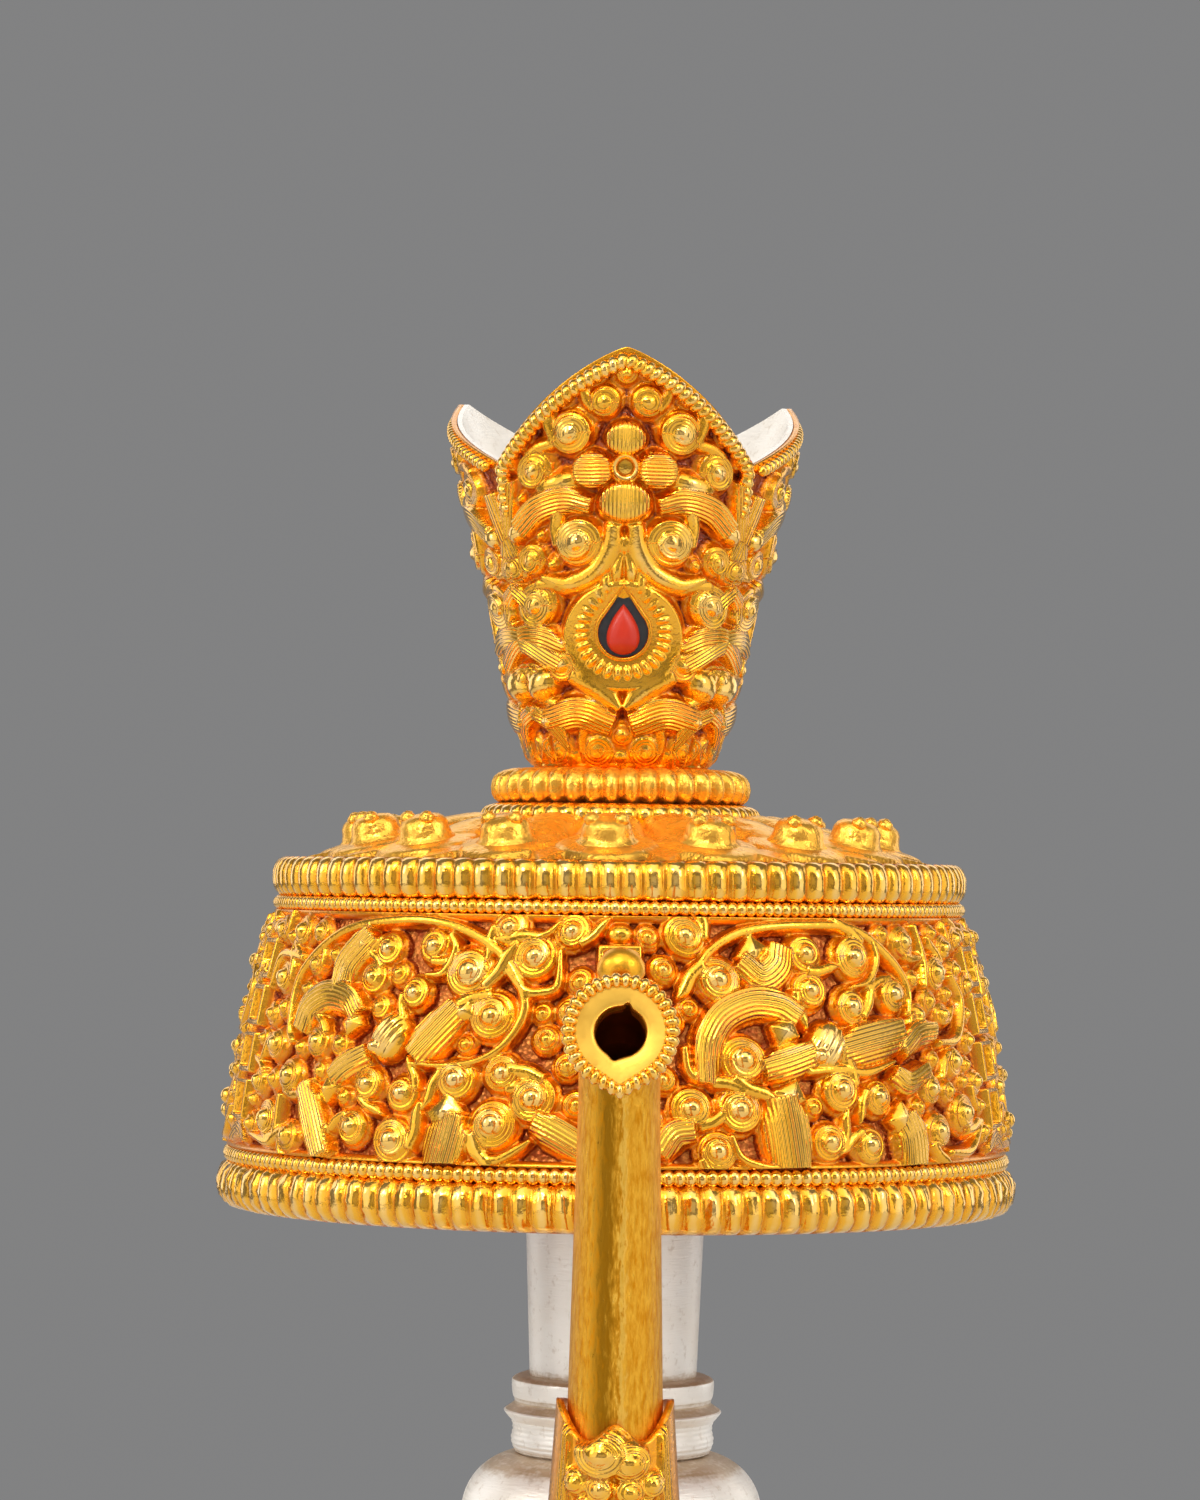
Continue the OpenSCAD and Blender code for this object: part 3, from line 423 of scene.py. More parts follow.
def patchy_group():
    """Node group: slow clouds and fine grain over a surface, and the normal of the skin that they raise."""
    group = bpy.data.node_groups.new("patchy_skin", "ShaderNodeTree")
    for label, kind in PATCHY_INPUTS:
        group.interface.new_socket(label, in_out="INPUT", socket_type="NodeSocket" + kind)
    for label, kind in (("Cloud", "Float"), ("Grain", "Float"), ("Normal", "Vector")):
        group.interface.new_socket(label, in_out="OUTPUT", socket_type="NodeSocket" + kind)
    n = Nodes(group)
    given = group.nodes.new("NodeGroupInput").outputs
    out = group.nodes.new("NodeGroupOutput").inputs
    where = n.where()
    cloud = n.noise(where, given["Cloud Scale"], given["Cloud Detail"])
    stretched = n.add("Mapping", {"Vector": where, "Scale": given["Grain Stretch"]}).outputs[0]
    grain = n.noise(stretched, given["Grain Scale"], given["Grain Detail"])
    height = n.plus(n.times(cloud, given["Cloud Height"]), n.times(grain, given["Grain Height"]))
    normal = n.bump(n.times(height, given["Damp"]))
    for key, value in (("Cloud", cloud), ("Grain", grain), ("Normal", normal)):
        n.give(out[key], value)
    return group


class Finish(Nodes):
    """A new material whose shader is fed at the end."""

    def __init__(self, name):
        self.material = bpy.data.materials.new(name)
        self.material.use_nodes = True
        super().__init__(self.material.node_tree)

    def feed(self, inputs):
        """Links or sets the shader's own sockets and gives the material."""
        for key, value in inputs.items():
            self.give(self.tree.nodes["Principled BSDF"].inputs[key], value)
        return self.material


def chased_gilt_finish():
    """Chased gilding by rise: the sunk ground red with painted shade deepening it, a painted shade that turns
    the gilt deeper orange lower down, and pale tops that are partly silver worn through and partly a painted
    highlight; engraved by line and cut.
    """
    n = Finish("gilt_chased")
    rise, line, cut = (n.attribute(key) for key in ("rise", "line", "cut"))
    wear, grain, _ = n.patchy((260.0, 4.0), (1900.0, 3.0))
    lifted = n.plus(rise, n.ranged(wear, 0.3, 0.7, -0.08, 0.08))
    plated = n.ranged(lifted, 0.1, 0.26)
    # Painted shade: the gilt turns deeper orange as rise falls, darkening hollows and the feet of motifs.
    warm = n.mixed(n.ranged(lifted, 0.22, 0.6), (0.78, 0.215, 0.003), (0.90, 0.375, 0.010))
    bright = n.mixed(n.ranged(lifted, 0.6, 1.0), warm, (1.0, 0.52, 0.038))
    # Pale tops past rise 0.9: partly silver worn through the gilding, partly a painted highlight.
    rub_and_sheen = n.times(n.ranged(lifted, 0.9, 1.08, 0.0, 0.55), n.ranged(cut, 0.1, 0.9, 1.0, 0.12))
    bright = n.mixed(rub_and_sheen, bright, (1.0, 0.74, 0.34))
    # Sunk ground: red, made darker by painted shade.
    deep = n.mixed(n.ranged(grain, 0.35, 0.65), (0.26, 0.03, 0.004), (0.48, 0.10, 0.012))
    rough = n.plus(n.ranged(lifted, 0.15, 0.9, 0.46, 0.14), n.ranged(grain, 0.3, 0.7, -0.05, 0.07))
    strokes = n.times(n.math("SINE", n.times(line, 2 * PI)), cut)
    stipple = n.times(n.dots(2100.0), n.ranged(plated, 0.0, 1.0, 0.00022, 0.0))
    fine = n.times(grain, n.ranged(lifted, 0.45, 0.95, 0.00009, 0.00004))
    height = n.plus(n.plus(n.times(strokes, 0.00007), stipple), fine)
    colour, metal = n.mixed(plated, deep, bright), n.ranged(plated, 0.0, 1.0, 0.8, 1.0)
    return n.feed({"Base Color": colour, "Metallic": metal, "Roughness": rough, "Normal": n.bump(height),
                   "Coat Weight": 0.45, "Coat Roughness": 0.12})


def plain_gilt_finish():
    """Smooth gilding for tubes and plain sheet, a little uneven."""
    n = Finish("gilt_plain")
    cloud, _, normal = n.patchy((150.0, 5.0), (1500.0, 3.0), (0.0004, 0.00003))
    colour = n.mixed(n.ranged(cloud, 0.35, 0.65), (0.90, 0.38, 0.014), (1.0, 0.48, 0.035))
    rough = n.ranged(cloud, 0.3, 0.7, 0.26, 0.4)
    return n.feed({"Base Color": colour, "Metallic": 1.0, "Roughness": rough, "Normal": normal})


def satin_gilt_finish():
    """Soft pale gilding of lotus top, crown foot and mouth: rise makes it paler, so its low parts carry a
    painted shade, and past 0.8 flatter.
    """
    n = Finish("gilt_satin")
    rise = n.attribute("rise")
    flat = n.ranged(rise, 0.8, 0.88)
    damp = n.ranged(flat, 0.0, 1.0, 1.0, 0.15)
    cloud, _, normal = n.patchy((330.0, 5.0), (1700.0, 3.0), (0.0005, 0.00007), damp=damp)
    lifted = n.plus(rise, n.ranged(cloud, 0.3, 0.7, -0.1, 0.1))
    # Painted shade: lower rise gives a deeper orange.
    colour = n.mixed(n.ranged(lifted, 0.2, 1.0), (0.90, 0.33, 0.012), (1.0, 0.57, 0.08))
    rough = n.plus(n.ranged(cloud, 0.3, 0.7, 0.2, 0.36), n.times(flat, 0.16))
    return n.feed({"Base Color": colour, "Metallic": 0.85, "Roughness": rough, "Normal": normal})


def drawn_gilt_finish():
    """Gilding of the drawn spout, with a painted highlight line along the seam down its front and a painted
    dark reflection band beside it.

    line is the angle from its front, and cut the distance along it in centimetres.
    """
    n = Finish("gilt_drawn")
    angle = n.attribute("line")
    where = n.add("CombineXYZ", {0: n.times(angle, 9.0), 1: n.times(n.attribute("cut"), 4.5)}).outputs[0]
    streak = n.noise(where, 1.0, 6.0, 0.65)

    def from_line(low, high):
        """Angle from a line down the tube that wanders with the streaks."""
        return n.math("ABSOLUTE", n.plus(angle, n.ranged(streak, 0.3, 0.7, low, high)))

    gold = n.mixed(n.ranged(streak, 0.36, 0.66), (0.72, 0.27, 0.006), (1.0, 0.52, 0.05))
    # Painted reflection: a dark brown band beside the seam, where the tube would mirror dark surroundings.
    painted_dark_reflection = n.mixed(n.ranged(from_line(0.12, 0.44), 0.08, 0.36, 0.9, 0.0), gold, (0.34, 0.145, 0.005))
    # Painted highlight: a bright ragged line along the seam, standing for the front lamp's reflection.
    painted_seam_highlight = n.mixed(n.ranged(from_line(-0.28, 0.04), 0.02, 0.1, 0.8, 0.0), painted_dark_reflection, (1.0, 0.60, 0.10))
    rough = n.ranged(streak, 0.3, 0.7, 0.44, 0.26)
    normal = n.bump(n.times(streak, 0.0002))
    return n.feed({"Base Color": painted_seam_highlight, "Metallic": 1.0, "Roughness": rough, "Normal": normal})


def silver_finish(name, tone):
    """Satin silver, turned and streaked by rubbing, with a brown tarnish where rise is low, which is partly
    patina and partly painted shadow; tone scales how white it is.
    """
    n = Finish(name)
    cloud, rub_and_sheen, normal = n.patchy((95.0, 5.0), (420.0, 5.0), (0.00035, 0.00006), stretch=(1.0, 1.0, 9.0))
    specks = n.noise(n.where(), 1700.0, 2.0)
    patches = n.plus(n.ranged(rub_and_sheen, 0.3, 0.7, -0.14, 0.14), n.ranged(specks, 0.3, 0.7, -0.1, 0.1))
    clean = n.ranged(n.plus(n.attribute("rise"), patches), 0.25, 0.75)
    pale, warm = (tuple(tone * c for c in colour) for colour in ((0.95, 0.89, 0.80), (0.88, 0.79, 0.67)))
    white = n.mixed(n.ranged(cloud, 0.4, 0.72), pale, warm)
    film_and_shadow = n.mixed(cloud, (0.44, 0.30, 0.17), (0.66, 0.50, 0.33))
    freckles = n.ranged(n.noise(n.where(), 750.0, 6.0, 0.7), 0.56, 0.74, 0.0, 0.6)
    aged = n.mixed(freckles, n.mixed(clean, film_and_shadow, white), (0.50, 0.37, 0.24))
    rough = n.ranged(rub_and_sheen, 0.3, 0.7, 0.32, 0.48)
    return n.feed({"Base Color": aged, "Metallic": 0.4, "Roughness": rough, "Normal": normal})


def ground_finish():
    """Orange ground behind the pierced work, pricked all over."""
    n = Finish("red_ground")
    cloud = n.ranged(n.patchy((900.0, 4.0))[0], 0.35, 0.65)
    colour = n.mixed(cloud, (0.36, 0.06, 0.008), (0.72, 0.25, 0.045))
    pricks = n.bump(n.times(n.dots(1700.0), 0.0002))
    return n.feed({"Base Color": colour, "Metallic": 0.75, "Roughness": 0.42, "Normal": pricks})


def clouded_finish(name, cloud, low, high, sockets):
    """A plain finish whose colour drifts between two tones."""
    n = Finish(name)
    return n.feed({"Base Color": n.mixed(n.patchy(cloud)[0], low, high), **sockets})


PATCHY = patchy_group()
GILT, PLAIN, DRAWN = chased_gilt_finish(), plain_gilt_finish(), drawn_gilt_finish()
# The belly gets a darker copy of the satin silver, tone 0.76: a painted shade that offsets the strong top
# light on it.
SILVER, BELLY = silver_finish("silver_satin", 1.0), silver_finish("silver_belly_painted_shade", 0.76)
GROUND, SATIN = ground_finish(), satin_gilt_finish()
CORAL = clouded_finish("coral_red", (600.0, 4.0), (0.50, 0.022, 0.008), (0.62, 0.040, 0.014),
                       {"Roughness": 0.3, "Specular IOR Level": 0.35})
PITCH = clouded_finish("pitch_dark", (1500.0, 4.0), (0.006, 0.006, 0.007), (0.035, 0.04, 0.045),
                       {"Roughness": 0.45})


# Rings and wires

def gadrooned_ring(name, body, node, radii, heights, ribs, depth, fullness=2.2, rough=0.03, pale=0.3, web=0.0,
                   plump=0.55, lift=1.0, finish=None):
    """A rounded ring cut into upright lobes: a superellipse section whose outer half shrinks at each groove.

    rough is how far small uneven swells lower its outer face, in millimetres, pale the rise in its grooves,
    which sets how much painted shade they get, web how far its flat inner part runs in towards the axis,
    plump how round its lobes are, and lift scales the rise.
    """
    (inner, outer), (low, high) = radii, heights
    a, t = circle(ribs * (8 // COARSE))[:, None], circle(24 // COARSE)[None, :]
    uneven = 0.10 * np.sin(7.3 * a) * np.sin(17.9 * a + 1) + 0.12 * np.sin(t)
    lobe = np.abs(np.sin(ribs * a / 2 + uneven)) ** plump
    out, up = (np.sign(x) * np.abs(x) ** (2 / fullness) for x in (np.cos(t), np.sin(t)))
    reach = np.where(out > 0, outer - inner - depth * (1 - lobe), 0.0)
    tall = (high - low) / 2 * (1 - 0.10 * (1 - lobe) * (out > 0))
    worn = np.sin(97.3 * a + 5 * t) * np.sin(61.7 * a - 3 * t + 1)
    worn = worn + 0.6 * np.sin(211 * a + 7 * t) * np.sin(143 * a - 4 * t)
    r = inner - web * (out < -0.02) + reach * out - rough * (1.5 + worn) * (out > 0.05)
    points = from_front(a, r, (low + high) / 2 + tall * up)
    # Lower rise in the grooves and a rise of 0.15 on the inner face give them the finish's painted shade.
    rise = np.where(out > 0.02, pale + (1 - pale) * lobe, 0.15) * lift
    gilded(surface(name, points, around=True, across=True, rise=rise), body, node, finish=finish)


def beaded_loop(name, body, node, path, out, up, r, pitch, slant=0.0, closed=True, waist=0.5):
    """A wire of beads: a round section carried along a path, narrowed between beads."""
    step = np.linalg.norm(np.diff(np.concatenate([path, path[:1]]) if closed else path, axis=0), axis=1)
    length = np.concatenate([[0], np.cumsum(step)])[:len(path)]
    total = step.sum()
    t = circle(10)[None, :]
    phase = PI * round(total / pitch) * length[:, None] / total + slant * np.sin(t)
    swell = waist + (1 - waist) * np.abs(np.sin(phase)) ** 0.6
    if not closed:
        swell = swell * np.sqrt(np.clip(np.minimum(length, total - length) / r, 0, 1))[:, None]
    points = path[:, None] + (r * swell * np.cos(t))[..., None] * out[:, None]
    points = points + (r * swell * np.sin(t))[..., None] * up[:, None]
    # Rise falls at each waist, so the finish paints shade between the beads.
    gilded(surface(name, points, around=closed, across=True, flip=True, rise=0.2 + 0.8 * swell), body, node)


def beaded_circle(name, node, radius, height, r, pitch):
    """Beaded wire of the canopy, round the axis."""
    beads = round(2 * PI * radius / pitch)
    a = circle(beads * (8 // COARSE))
    out = from_front(a, 1.0, 0.0)
    up = np.broadcast_to(np.array([0.0, 0, 1]), out.shape)
    path = from_front(a, radius, height)
    beaded_loop(name, "canopy", node, path, out, up, r, 2 * PI * radius / beads, waist=0.72)


# Canopy

# Upper radius and height of the band, how much it widens downwards, and its swell half way
BAND_R, BAND_TALL, BAND_FLARE, BAND_SWELL = 42.4, 29.2, 5.6, 2.8
BAND_MID = (Z_BAND + Z_BAND_FOOT) / 2


def band_radius(z):
    """Radius of the band's cone, a little swollen half way down."""
    t = (Z_BAND - z) / BAND_TALL
    return BAND_R + BAND_FLARE * t + BAND_SWELL * t * (1 - t)


# Places in a panel of the band, across and up from its middle. A curl or a facet has its radius after its
# place, a leaf or a vine has its half width before its path, and the heart is a ribbed boss.
LEFT_PANEL = {
    "curls": [
        (-13.8, 8.1, 1.4), (-1.4, 10.2, 1.8), (5, 10.7, 1.9), (-3.1, 6.8, 1.8), (3.3, 5.1, 1.8),
        (10.2, 7.7, 2.8), (13.7, 2.6, 2.6), (-1.8, -5.7, 2), (3.3, -6.6, 2), (10.2, -4.8, 2.3),
        (15.8, -3.9, 2.1), (19.7, -6.8, 2.6), (15.3, -9.9, 2.7), (2.6, -12.1, 2.6), (-3.7, -10.8, 2),
        (-16.2, -5.2, 2), (-11.2, -1, 1.8), (14.1, 12.9, 2), (21.5, 12.6, 2), (17.7, 9.6, 2.4),
        (-18.3, 12, 1.8), (-21, 6.4, 1.9), (-20.6, -1.6, 1.8), (-20.4, -10.6, 2.3), (-24, -6.2, 1.7),
        (-15.4, -12.4, 1.7), (-24.6, 12.2, 1.6)],
    "leaves": [
        (1.5, [(-7.9, 5.4), (-7.3, 8.2), (-5.5, 10.3), (-4.4, 11.4)]),
        (1.5, [(-14.1, 0.6), (-13, 3), (-9.7, 4.5), (-6.3, 4), (-4.9, 2.6)]),
        (1.8, [(4.9, -1.9), (6.9, 0.3), (9.2, 2.9)]),
        (1.3, [(-6.9, -5), (-4.9, -3.6), (-2.4, -2.4)]),
        (1.9, [(-12.2, -6.8), (-10.3, -10.3), (-8.6, -13.9)]),
        (2.2, [(10.1, -9.4), (9.6, -12.1), (9.1, -14.4)]),
        (1.5, [(20.6, -9.6), (22.9, -10.7), (26.1, -12.5)])],
    "facets": [(-5.1, 10.6, 1.3), (-5.2, 1.3, 1.3), (10.2, 3.1, 1.4), (-7.9, -6.6, 1.3), (9.3, -8.6, 1.8),
               (25.7, -11.9, 1.4)],
    "vines": [
        (0.5, [(-16.1, -1.2), (-17.2, 0.7), (-16.5, 6.9), (-9.6, 12), (-0.3, 13.6), (7.2, 13), (13.8, 9.7),
               (17.4, 4.3), (16.2, 0.1), (13, -2.4), (8.4, -3.2), (4.1, -3.1)]),
        (0.5, [(12.2, -10.8), (13.3, -13.2), (16, -13.9), (18.7, -12.5), (19.9, -11.6)]),
        (0.42, [(7, 12.1), (7.9, 10.3), (6.8, 7.6), (4.4, 7.2)]),
        (0.5, [(14, 8.8), (17, 5.8), (19.2, 5.5), (20.9, 6.4), (20.6, 10.4)]),
        (0.4, [(16, 11.9), (18.5, 12.2), (20.1, 13.7)]),
        (0.5, [(-16.8, 8.8), (-20, 9.2), (-23, 8.8), (-24.4, 5)]),
        (0.5, [(-17.4, -7.6), (-18.6, -13), (-24.4, -12.6)])],
    "heart": (0.7, -0.1)}
RIGHT_PANEL = {
    "curls": [
        (-19.6, 12.2, 2.3), (-16.5, 7.2, 2.5), (-5.1, 10.3, 2.1), (1.7, 9.9, 2.4), (-5.1, 6, 2.1),
        (0.5, 4.1, 2.1), (7.5, 5.5, 2), (-14.6, -2.1, 2.6), (-2.3, -5.6, 2.4), (3.2, -6.5, 2),
        (-21.2, -7.7, 2.3), (-15.6, -7.8, 2.5), (-18.5, -12.6, 2.2), (-4.4, -11.6, 2.1), (1.5, -12.1, 2.1),
        (10.8, 11.7, 1.8), (16.9, 8, 2), (11.7, 3, 1.5), (17.2, 3, 1.4), (12.8, -5.7, 1.8),
        (13.7, -10.8, 2.1), (20.2, 11, 1.5), (18.6, -2.6, 1.8), (19.8, -8.8, 2.2), (24.2, 12, 1.6),
        (24.2, -5.2, 1.6), (25.6, 6.4, 1.5)],
    "leaves": [
        (1.6, [(-13.3, 9), (-11.3, 7.4), (-9.1, 8.7), (-8.4, 10.6)]),
        (1.5, [(-19.1, -4.3), (-18.9, -1.7), (-18.2, 0.7), (-16.3, 3.1), (-12.9, 4.5), (-9.6, 4.2),
               (-7.7, 3.1)]),
        (1.6, [(-11.7, -3.1), (-9.1, -2.4), (-6.3, -1.5)]),
        (2, [(-1, -0.9), (2.3, -0.2), (7.2, 0.7)]),
        (2.3, [(-10.4, -7.2), (-10, -10.3), (-9.6, -14.4)]),
        (1.8, [(7.3, -9.2), (8.2, -11.4), (8.4, -14.6)]),
        (1.3, [(-24.9, -12.7), (-23.4, -10.7), (-21.6, -10.3)]),
        (1.3, [(8.1, -1.1), (10.7, 0.6), (13.7, 0.9)]),
        (1.2, [(6.2, -3.9), (8.1, -5), (11.5, -3.8)])],
    "facets": [(-11.9, 10.4, 1.6), (-9.1, 1.2, 1.5), (-9.2, -6.2, 1.6), (6.6, -8.9, 1.5)],
    "vines": [
        (0.5, [(-19.7, 7.3), (-16.7, 10.7), (-12.1, 12.9), (-5.1, 13.6), (2.4, 13.1), (7.8, 9.6),
               (10.1, 6.1), (9.6, 3)]),
        (0.5, [(-6.5, -3.4), (-2.1, -3.2), (1.8, -3.6), (6.2, -2.4)]),
        (0.45, [(-16.8, -10.8), (-15.8, -13.2), (-13.6, -14.2), (-11, -14.5)]),
        (0.42, [(4.8, 12.1), (5.3, 9.6), (3.6, 7.1), (1, 6.4)]),
        (0.45, [(-21.4, -0.6), (-21.2, -3.3), (-19.9, -4.6)]),
        (0.45, [(13.2, 13.6), (14.2, 9.4), (13.6, 6.2)]),
        (0.5, [(15.4, -0.4), (20, 0.2), (22.4, 4.4), (20.4, 7.6)]),
        (0.5, [(16, -13.4), (21, -13.2), (24.4, -10)])],
    "heart": (-3.6, -0.4)}


def band_panel_motifs(relief, panel):
    """Vines, leaves, facets, curls and the heart of one panel."""
    for width, path in panel["vines"]:
        relief.ribbon(path, width * 1.4, 1.3, lines=0, ends=(0.8, 0.5), bowl=0.6)
    for width, path in panel["leaves"]:
        relief.ribbon(path, width * 1.4, 1.75, lines=0.5, ends=(0.7, 0.8), bowl=0.6, lean=0.25)
    for u, v, r in panel["facets"]:
        relief.facet(u, v, r * 1.1, 1.8, tilt=35 + 20 * math.sin(3 * u))
    for i, (u, v, r) in enumerate(panel["curls"]):
        relief.snail(u, v, r * 1.16, high=1.05 + 0.45 * r, turns=1.4 + 0.2 * (i % 3), start=0.37 * i,
                     tail=2.4 * i)
    u, v = panel["heart"]
    relief.dome(u, v, 2.6, 3.1, 2.2, tilt=-35, ribs=0.95, power=0.42)
    relief.dome(u - 1.5, v - 1.3, 1.1, 1.1, 2.5)


def band_relief():
    """Scrollwork of the band as heights over its sheet; two panels are worked, and the rest repeat them."""
    share, rows = 1900 // COARSE // 5, 186 // COARSE
    cols = 5 * share
    angle = np.radians(-144 + 360 * np.arange(cols) / cols)
    up = np.tile(np.linspace(Z_BAND_FOOT, Z_BAND, rows), (cols, 1))
    relief = Relief(angle, up, band_radius(up))
    for a in (-72, 0, 72):
        relief.at(math.radians(a), BAND_MID)
        for v in (-8.6, -2.9, 2.8, 8.5):
            relief.bar(0, v, 2.5, 1.3, rim=0.75)
        relief.dome(0, 12.4, 1.6, 1.2, 1.3)
        relief.ribbon([(-3.4, -13.4), (0, -12), (3.4, -13.4)], 1.2, 1.1, lines=0.46)
    for k, a, panel in ((1, -36, LEFT_PANEL), (2, 36, RIGHT_PANEL)):
        relief.at(math.radians(a), BAND_MID)
        band_panel_motifs(relief, panel)
        relief.fill_gaps(0.152 * COARSE, 0.85, 1.7, 24, k * share, (k + 1) * share)
    for to, source in ((3, 1), (4, 2), (0, 2)):
        for grid in (relief.high, relief.line, relief.cut):
            grid[to * share:(to + 1) * share] = grid[source * share:(source + 1) * share]
    relief.sink(1.2, 2 // COARSE, 2)
    relief.soften()
    v = up - Z_BAND_FOOT
    rim = np.maximum(1 - smooth(v, 0.2, 0.9), smooth(v, 28.3, 29.0))
    relief.high = np.where(rim > 0.01, np.maximum(relief.high, 0.55 * rim), relief.high)
    return relief


def canopy_band():
    """Five panels of the pierced and chased band; each carries the heights out from the band's cone."""
    relief = band_relief()
    cols = len(relief.angle)
    share = cols // 5
    slope = math.atan2(BAND_FLARE, BAND_TALL)
    high = relief.high - 0.05
    r = relief.radius + high * math.cos(slope)
    z = np.clip(relief.up + high * math.sin(slope), Z_BAND_FOOT, Z_BAND)
    back = relief.radius[:, [0, -1]] - 0.75
    r = np.concatenate([back[:, :1], r, back[:, 1:]], 1)
    # Rise follows the height, so sunk ground and the feet of motifs get the finish's painted shade.
    rise = np.clip((relief.high + 0.55) / 2.2, 0, 1)
    z, *layers = (edged(x, 1, 1) for x in (z, rise, relief.line, relief.cut))
    points = from_front(relief.angle[:, None], r, z)
    parts = [("band_panel_%d" % (k + 1), np.arange(k * share, (k + 1) * share + 1) % cols) for k in range(5)]
    chased_sheets(parts, points, layers, "canopy", "canopy_band", "canopy_scrollwork", "canopy_snails")


# Inner and outer radius of the sloping top and its fall; the petals' number, turn and circle of tips
HUB_R, PLATE_R, PLATE_FALL = 19, 41.55, 5.2
PETALS, PETAL_TURN, BOSS_CIRCLE = 16, math.radians(-93), 31.6


def plate_height(r):
    """Height of the canopy's sloping top."""
    return Z_HUB - PLATE_FALL * (r - HUB_R) / (PLATE_R - HUB_R)


def canopy_petals():
    """Lotus top: sixteen plump tongues, each ending in a round flat petal, over pointed tips."""
    a = circle(672 // COARSE)[:, None]
    r = np.linspace(15.2, 41.3, 108 // COARSE)[None, :]
    pitch = 2 * PI / PETALS
    turn = (a - PETAL_TURN + pitch / 2) % pitch - pitch / 2
    across, between = turn * r, (pitch / 2 - np.abs(turn)) * r
    ground = plate_height(np.maximum(r, HUB_R)) + 0.15
    half = np.interp(r, [17, 31], [3.5, 4.8])
    tongue = np.sqrt(np.clip(1 - (across / half) ** 2, 0, 1))
    tongue = np.interp(r, [17, 24, 31, 34], [1.8, 2.2, 1.6, 0]) * tongue
    petal = 1.45 * np.clip(1 - np.hypot(across, r - BOSS_CIRCLE) ** 2 / 6.2 ** 2, 0, 1) ** 0.2
    tip = 0.8 * smooth(3.3 * (40.4 - r) / 7.4 - between, 0, 0.4) * smooth(r, 30, 33)
    high = np.maximum(np.maximum(tongue, petal), tip)
    # Rise follows the height, so the ground between the tongues gets the satin finish's painted shade.
    rise = edged(0.46 + 0.32 * smooth(high, 0.1, 1.2), 1, 1)
    z = np.concatenate([0 * a + Z_HUB + 0.05, ground + high, 0 * a + ground[:, -1:] - 0.1], 1)
    points = from_side(a, edged(r, 1, 1), z)
    piece = surface("canopy_lotus_top", points, around=True, rise=rise, flip=True)
    gilded(piece, "canopy", "canopy_petals", finish=SATIN)


def canopy_bosses():
    """Sixteen curled petal tips: a bell-shaped cushion with two whorled balls and a tongue on its top."""
    t = circle(24)[:, None]
    lat = np.linspace(-PI / 2, PI / 2, 12)[None, :]
    bell = np.array([(4.0, -0.3), (3.8, 0.1), (3.3, 0.45), (3.05, 1.2), (2.95, 2.0), (2.6, 2.6), (2.0, 3.0),
                     (1.0, 3.2), (0.02, 3.25)])
    ball = from_side(t, np.cos(lat), np.sin(lat))
    whorl = (1 + 0.08 * np.sin(3 * t + 6 * lat))[..., None]
    tongue = ball * np.array([0.9, 0.85, 0.9]) + np.array([1.9, 0, 2.0])
    curls = [ball * whorl * np.array([1.0, 0.95, 0.9]) + np.array([0.8, side * 1.75, 2.85])
             for side in (-1, 1)]
    blobs = [from_side(t, bell[:, 0], bell[:, 1]), tongue, *curls]
    tilt = math.atan2(PLATE_FALL, PLATE_R - HUB_R)
    points, quads, start = [], [], 0
    for a in PETAL_TURN + circle(PETALS):
        for blob in blobs:
            x, y, z = np.moveaxis(blob, -1, 0)
            r = BOSS_CIRCLE + x * math.cos(tilt) + z * math.sin(tilt)
            z = plate_height(BOSS_CIRCLE) + 1.3 + z * math.cos(tilt) - x * math.sin(tilt)
            tip = joined(r * math.cos(a) - y * math.sin(a), r * math.sin(a) + y * math.cos(a), z)
            points.append(tip.reshape(-1, 3))
            quads.append(start + grid_quads(*x.shape, around=True))
            start += x.size
    piece = mesh_piece("canopy_curled_tips", np.concatenate(points), np.concatenate(quads), rise=0.75)
    gilded(piece, "canopy", "canopy_bosses", finish=SATIN)


# Crown

# Half widths and middle of the petals as angles, their heights, the cone's shape, how the side petals lean
# out and how their ornament is stretched, the pear setting, and the pitch of combed lines
FRONT_HALF, SIDE_HALF, SIDE_MIDDLE = math.radians(52), math.radians(64), math.radians(116)
FRONT_TOP, SIDE_TOP, VALLEY = 51, 46.9, 37.6
CROWN_R, CROWN_SLOPE, CROWN_SWELL = 11.4, 0.195, 0.0006
TIP_LEAN, TIP_FROM, TIP_TALL = 1.6, 36.5, 10.4
SIDE_WIDE, SIDE_TALL, LIFT_FROM = 1.2, 0.86, 26
PEAR_R, PEAR_POINT, PEAR_UP = 3.55, 6.05, 17
COMB = 0.46


def crown_radius(h):
    """Radius of the crown's cone at a height over its foot, drawn in at the foot."""
    return CROWN_R + CROWN_SLOPE * h + CROWN_SWELL * h * h - np.exp(-h / 1.2)


def crown_lean(h):
    """Angle of the cone's wall from upright."""
    return np.arctan(CROWN_SLOPE + 2 * CROWN_SWELL * h)


def rim_height(a):
    """Height of the crown's edge at an angle from the front: three petals with a valley between each two."""
    a = np.abs(wrapped(a))
    front = FRONT_TOP - (FRONT_TOP - VALLEY) * (a / FRONT_HALF) ** 1.25
    side = SIDE_TOP - (SIDE_TOP - VALLEY) * (np.abs(a - SIDE_MIDDLE) / SIDE_HALF) ** 0.95
    return np.where(a < FRONT_HALF, front, side)


def tip_flare(a, h):
    """How far the side petals lean out above the valleys: it grows with the square of the height."""
    lean = np.where(np.abs(wrapped(a)) < FRONT_HALF, 0.0, TIP_LEAN)
    return lean * np.clip((h - TIP_FROM) / TIP_TALL, 0, 1) ** 2


def pear_radius(t, r, point):
    """Distance to a pear's outline at an angle from its point: a circle closed by two tangents."""
    tangent = math.acos(r / point)
    k = np.abs(wrapped(t))
    return np.where(k < tangent, r / np.cos(np.clip(tangent - k, 0, None)), r)


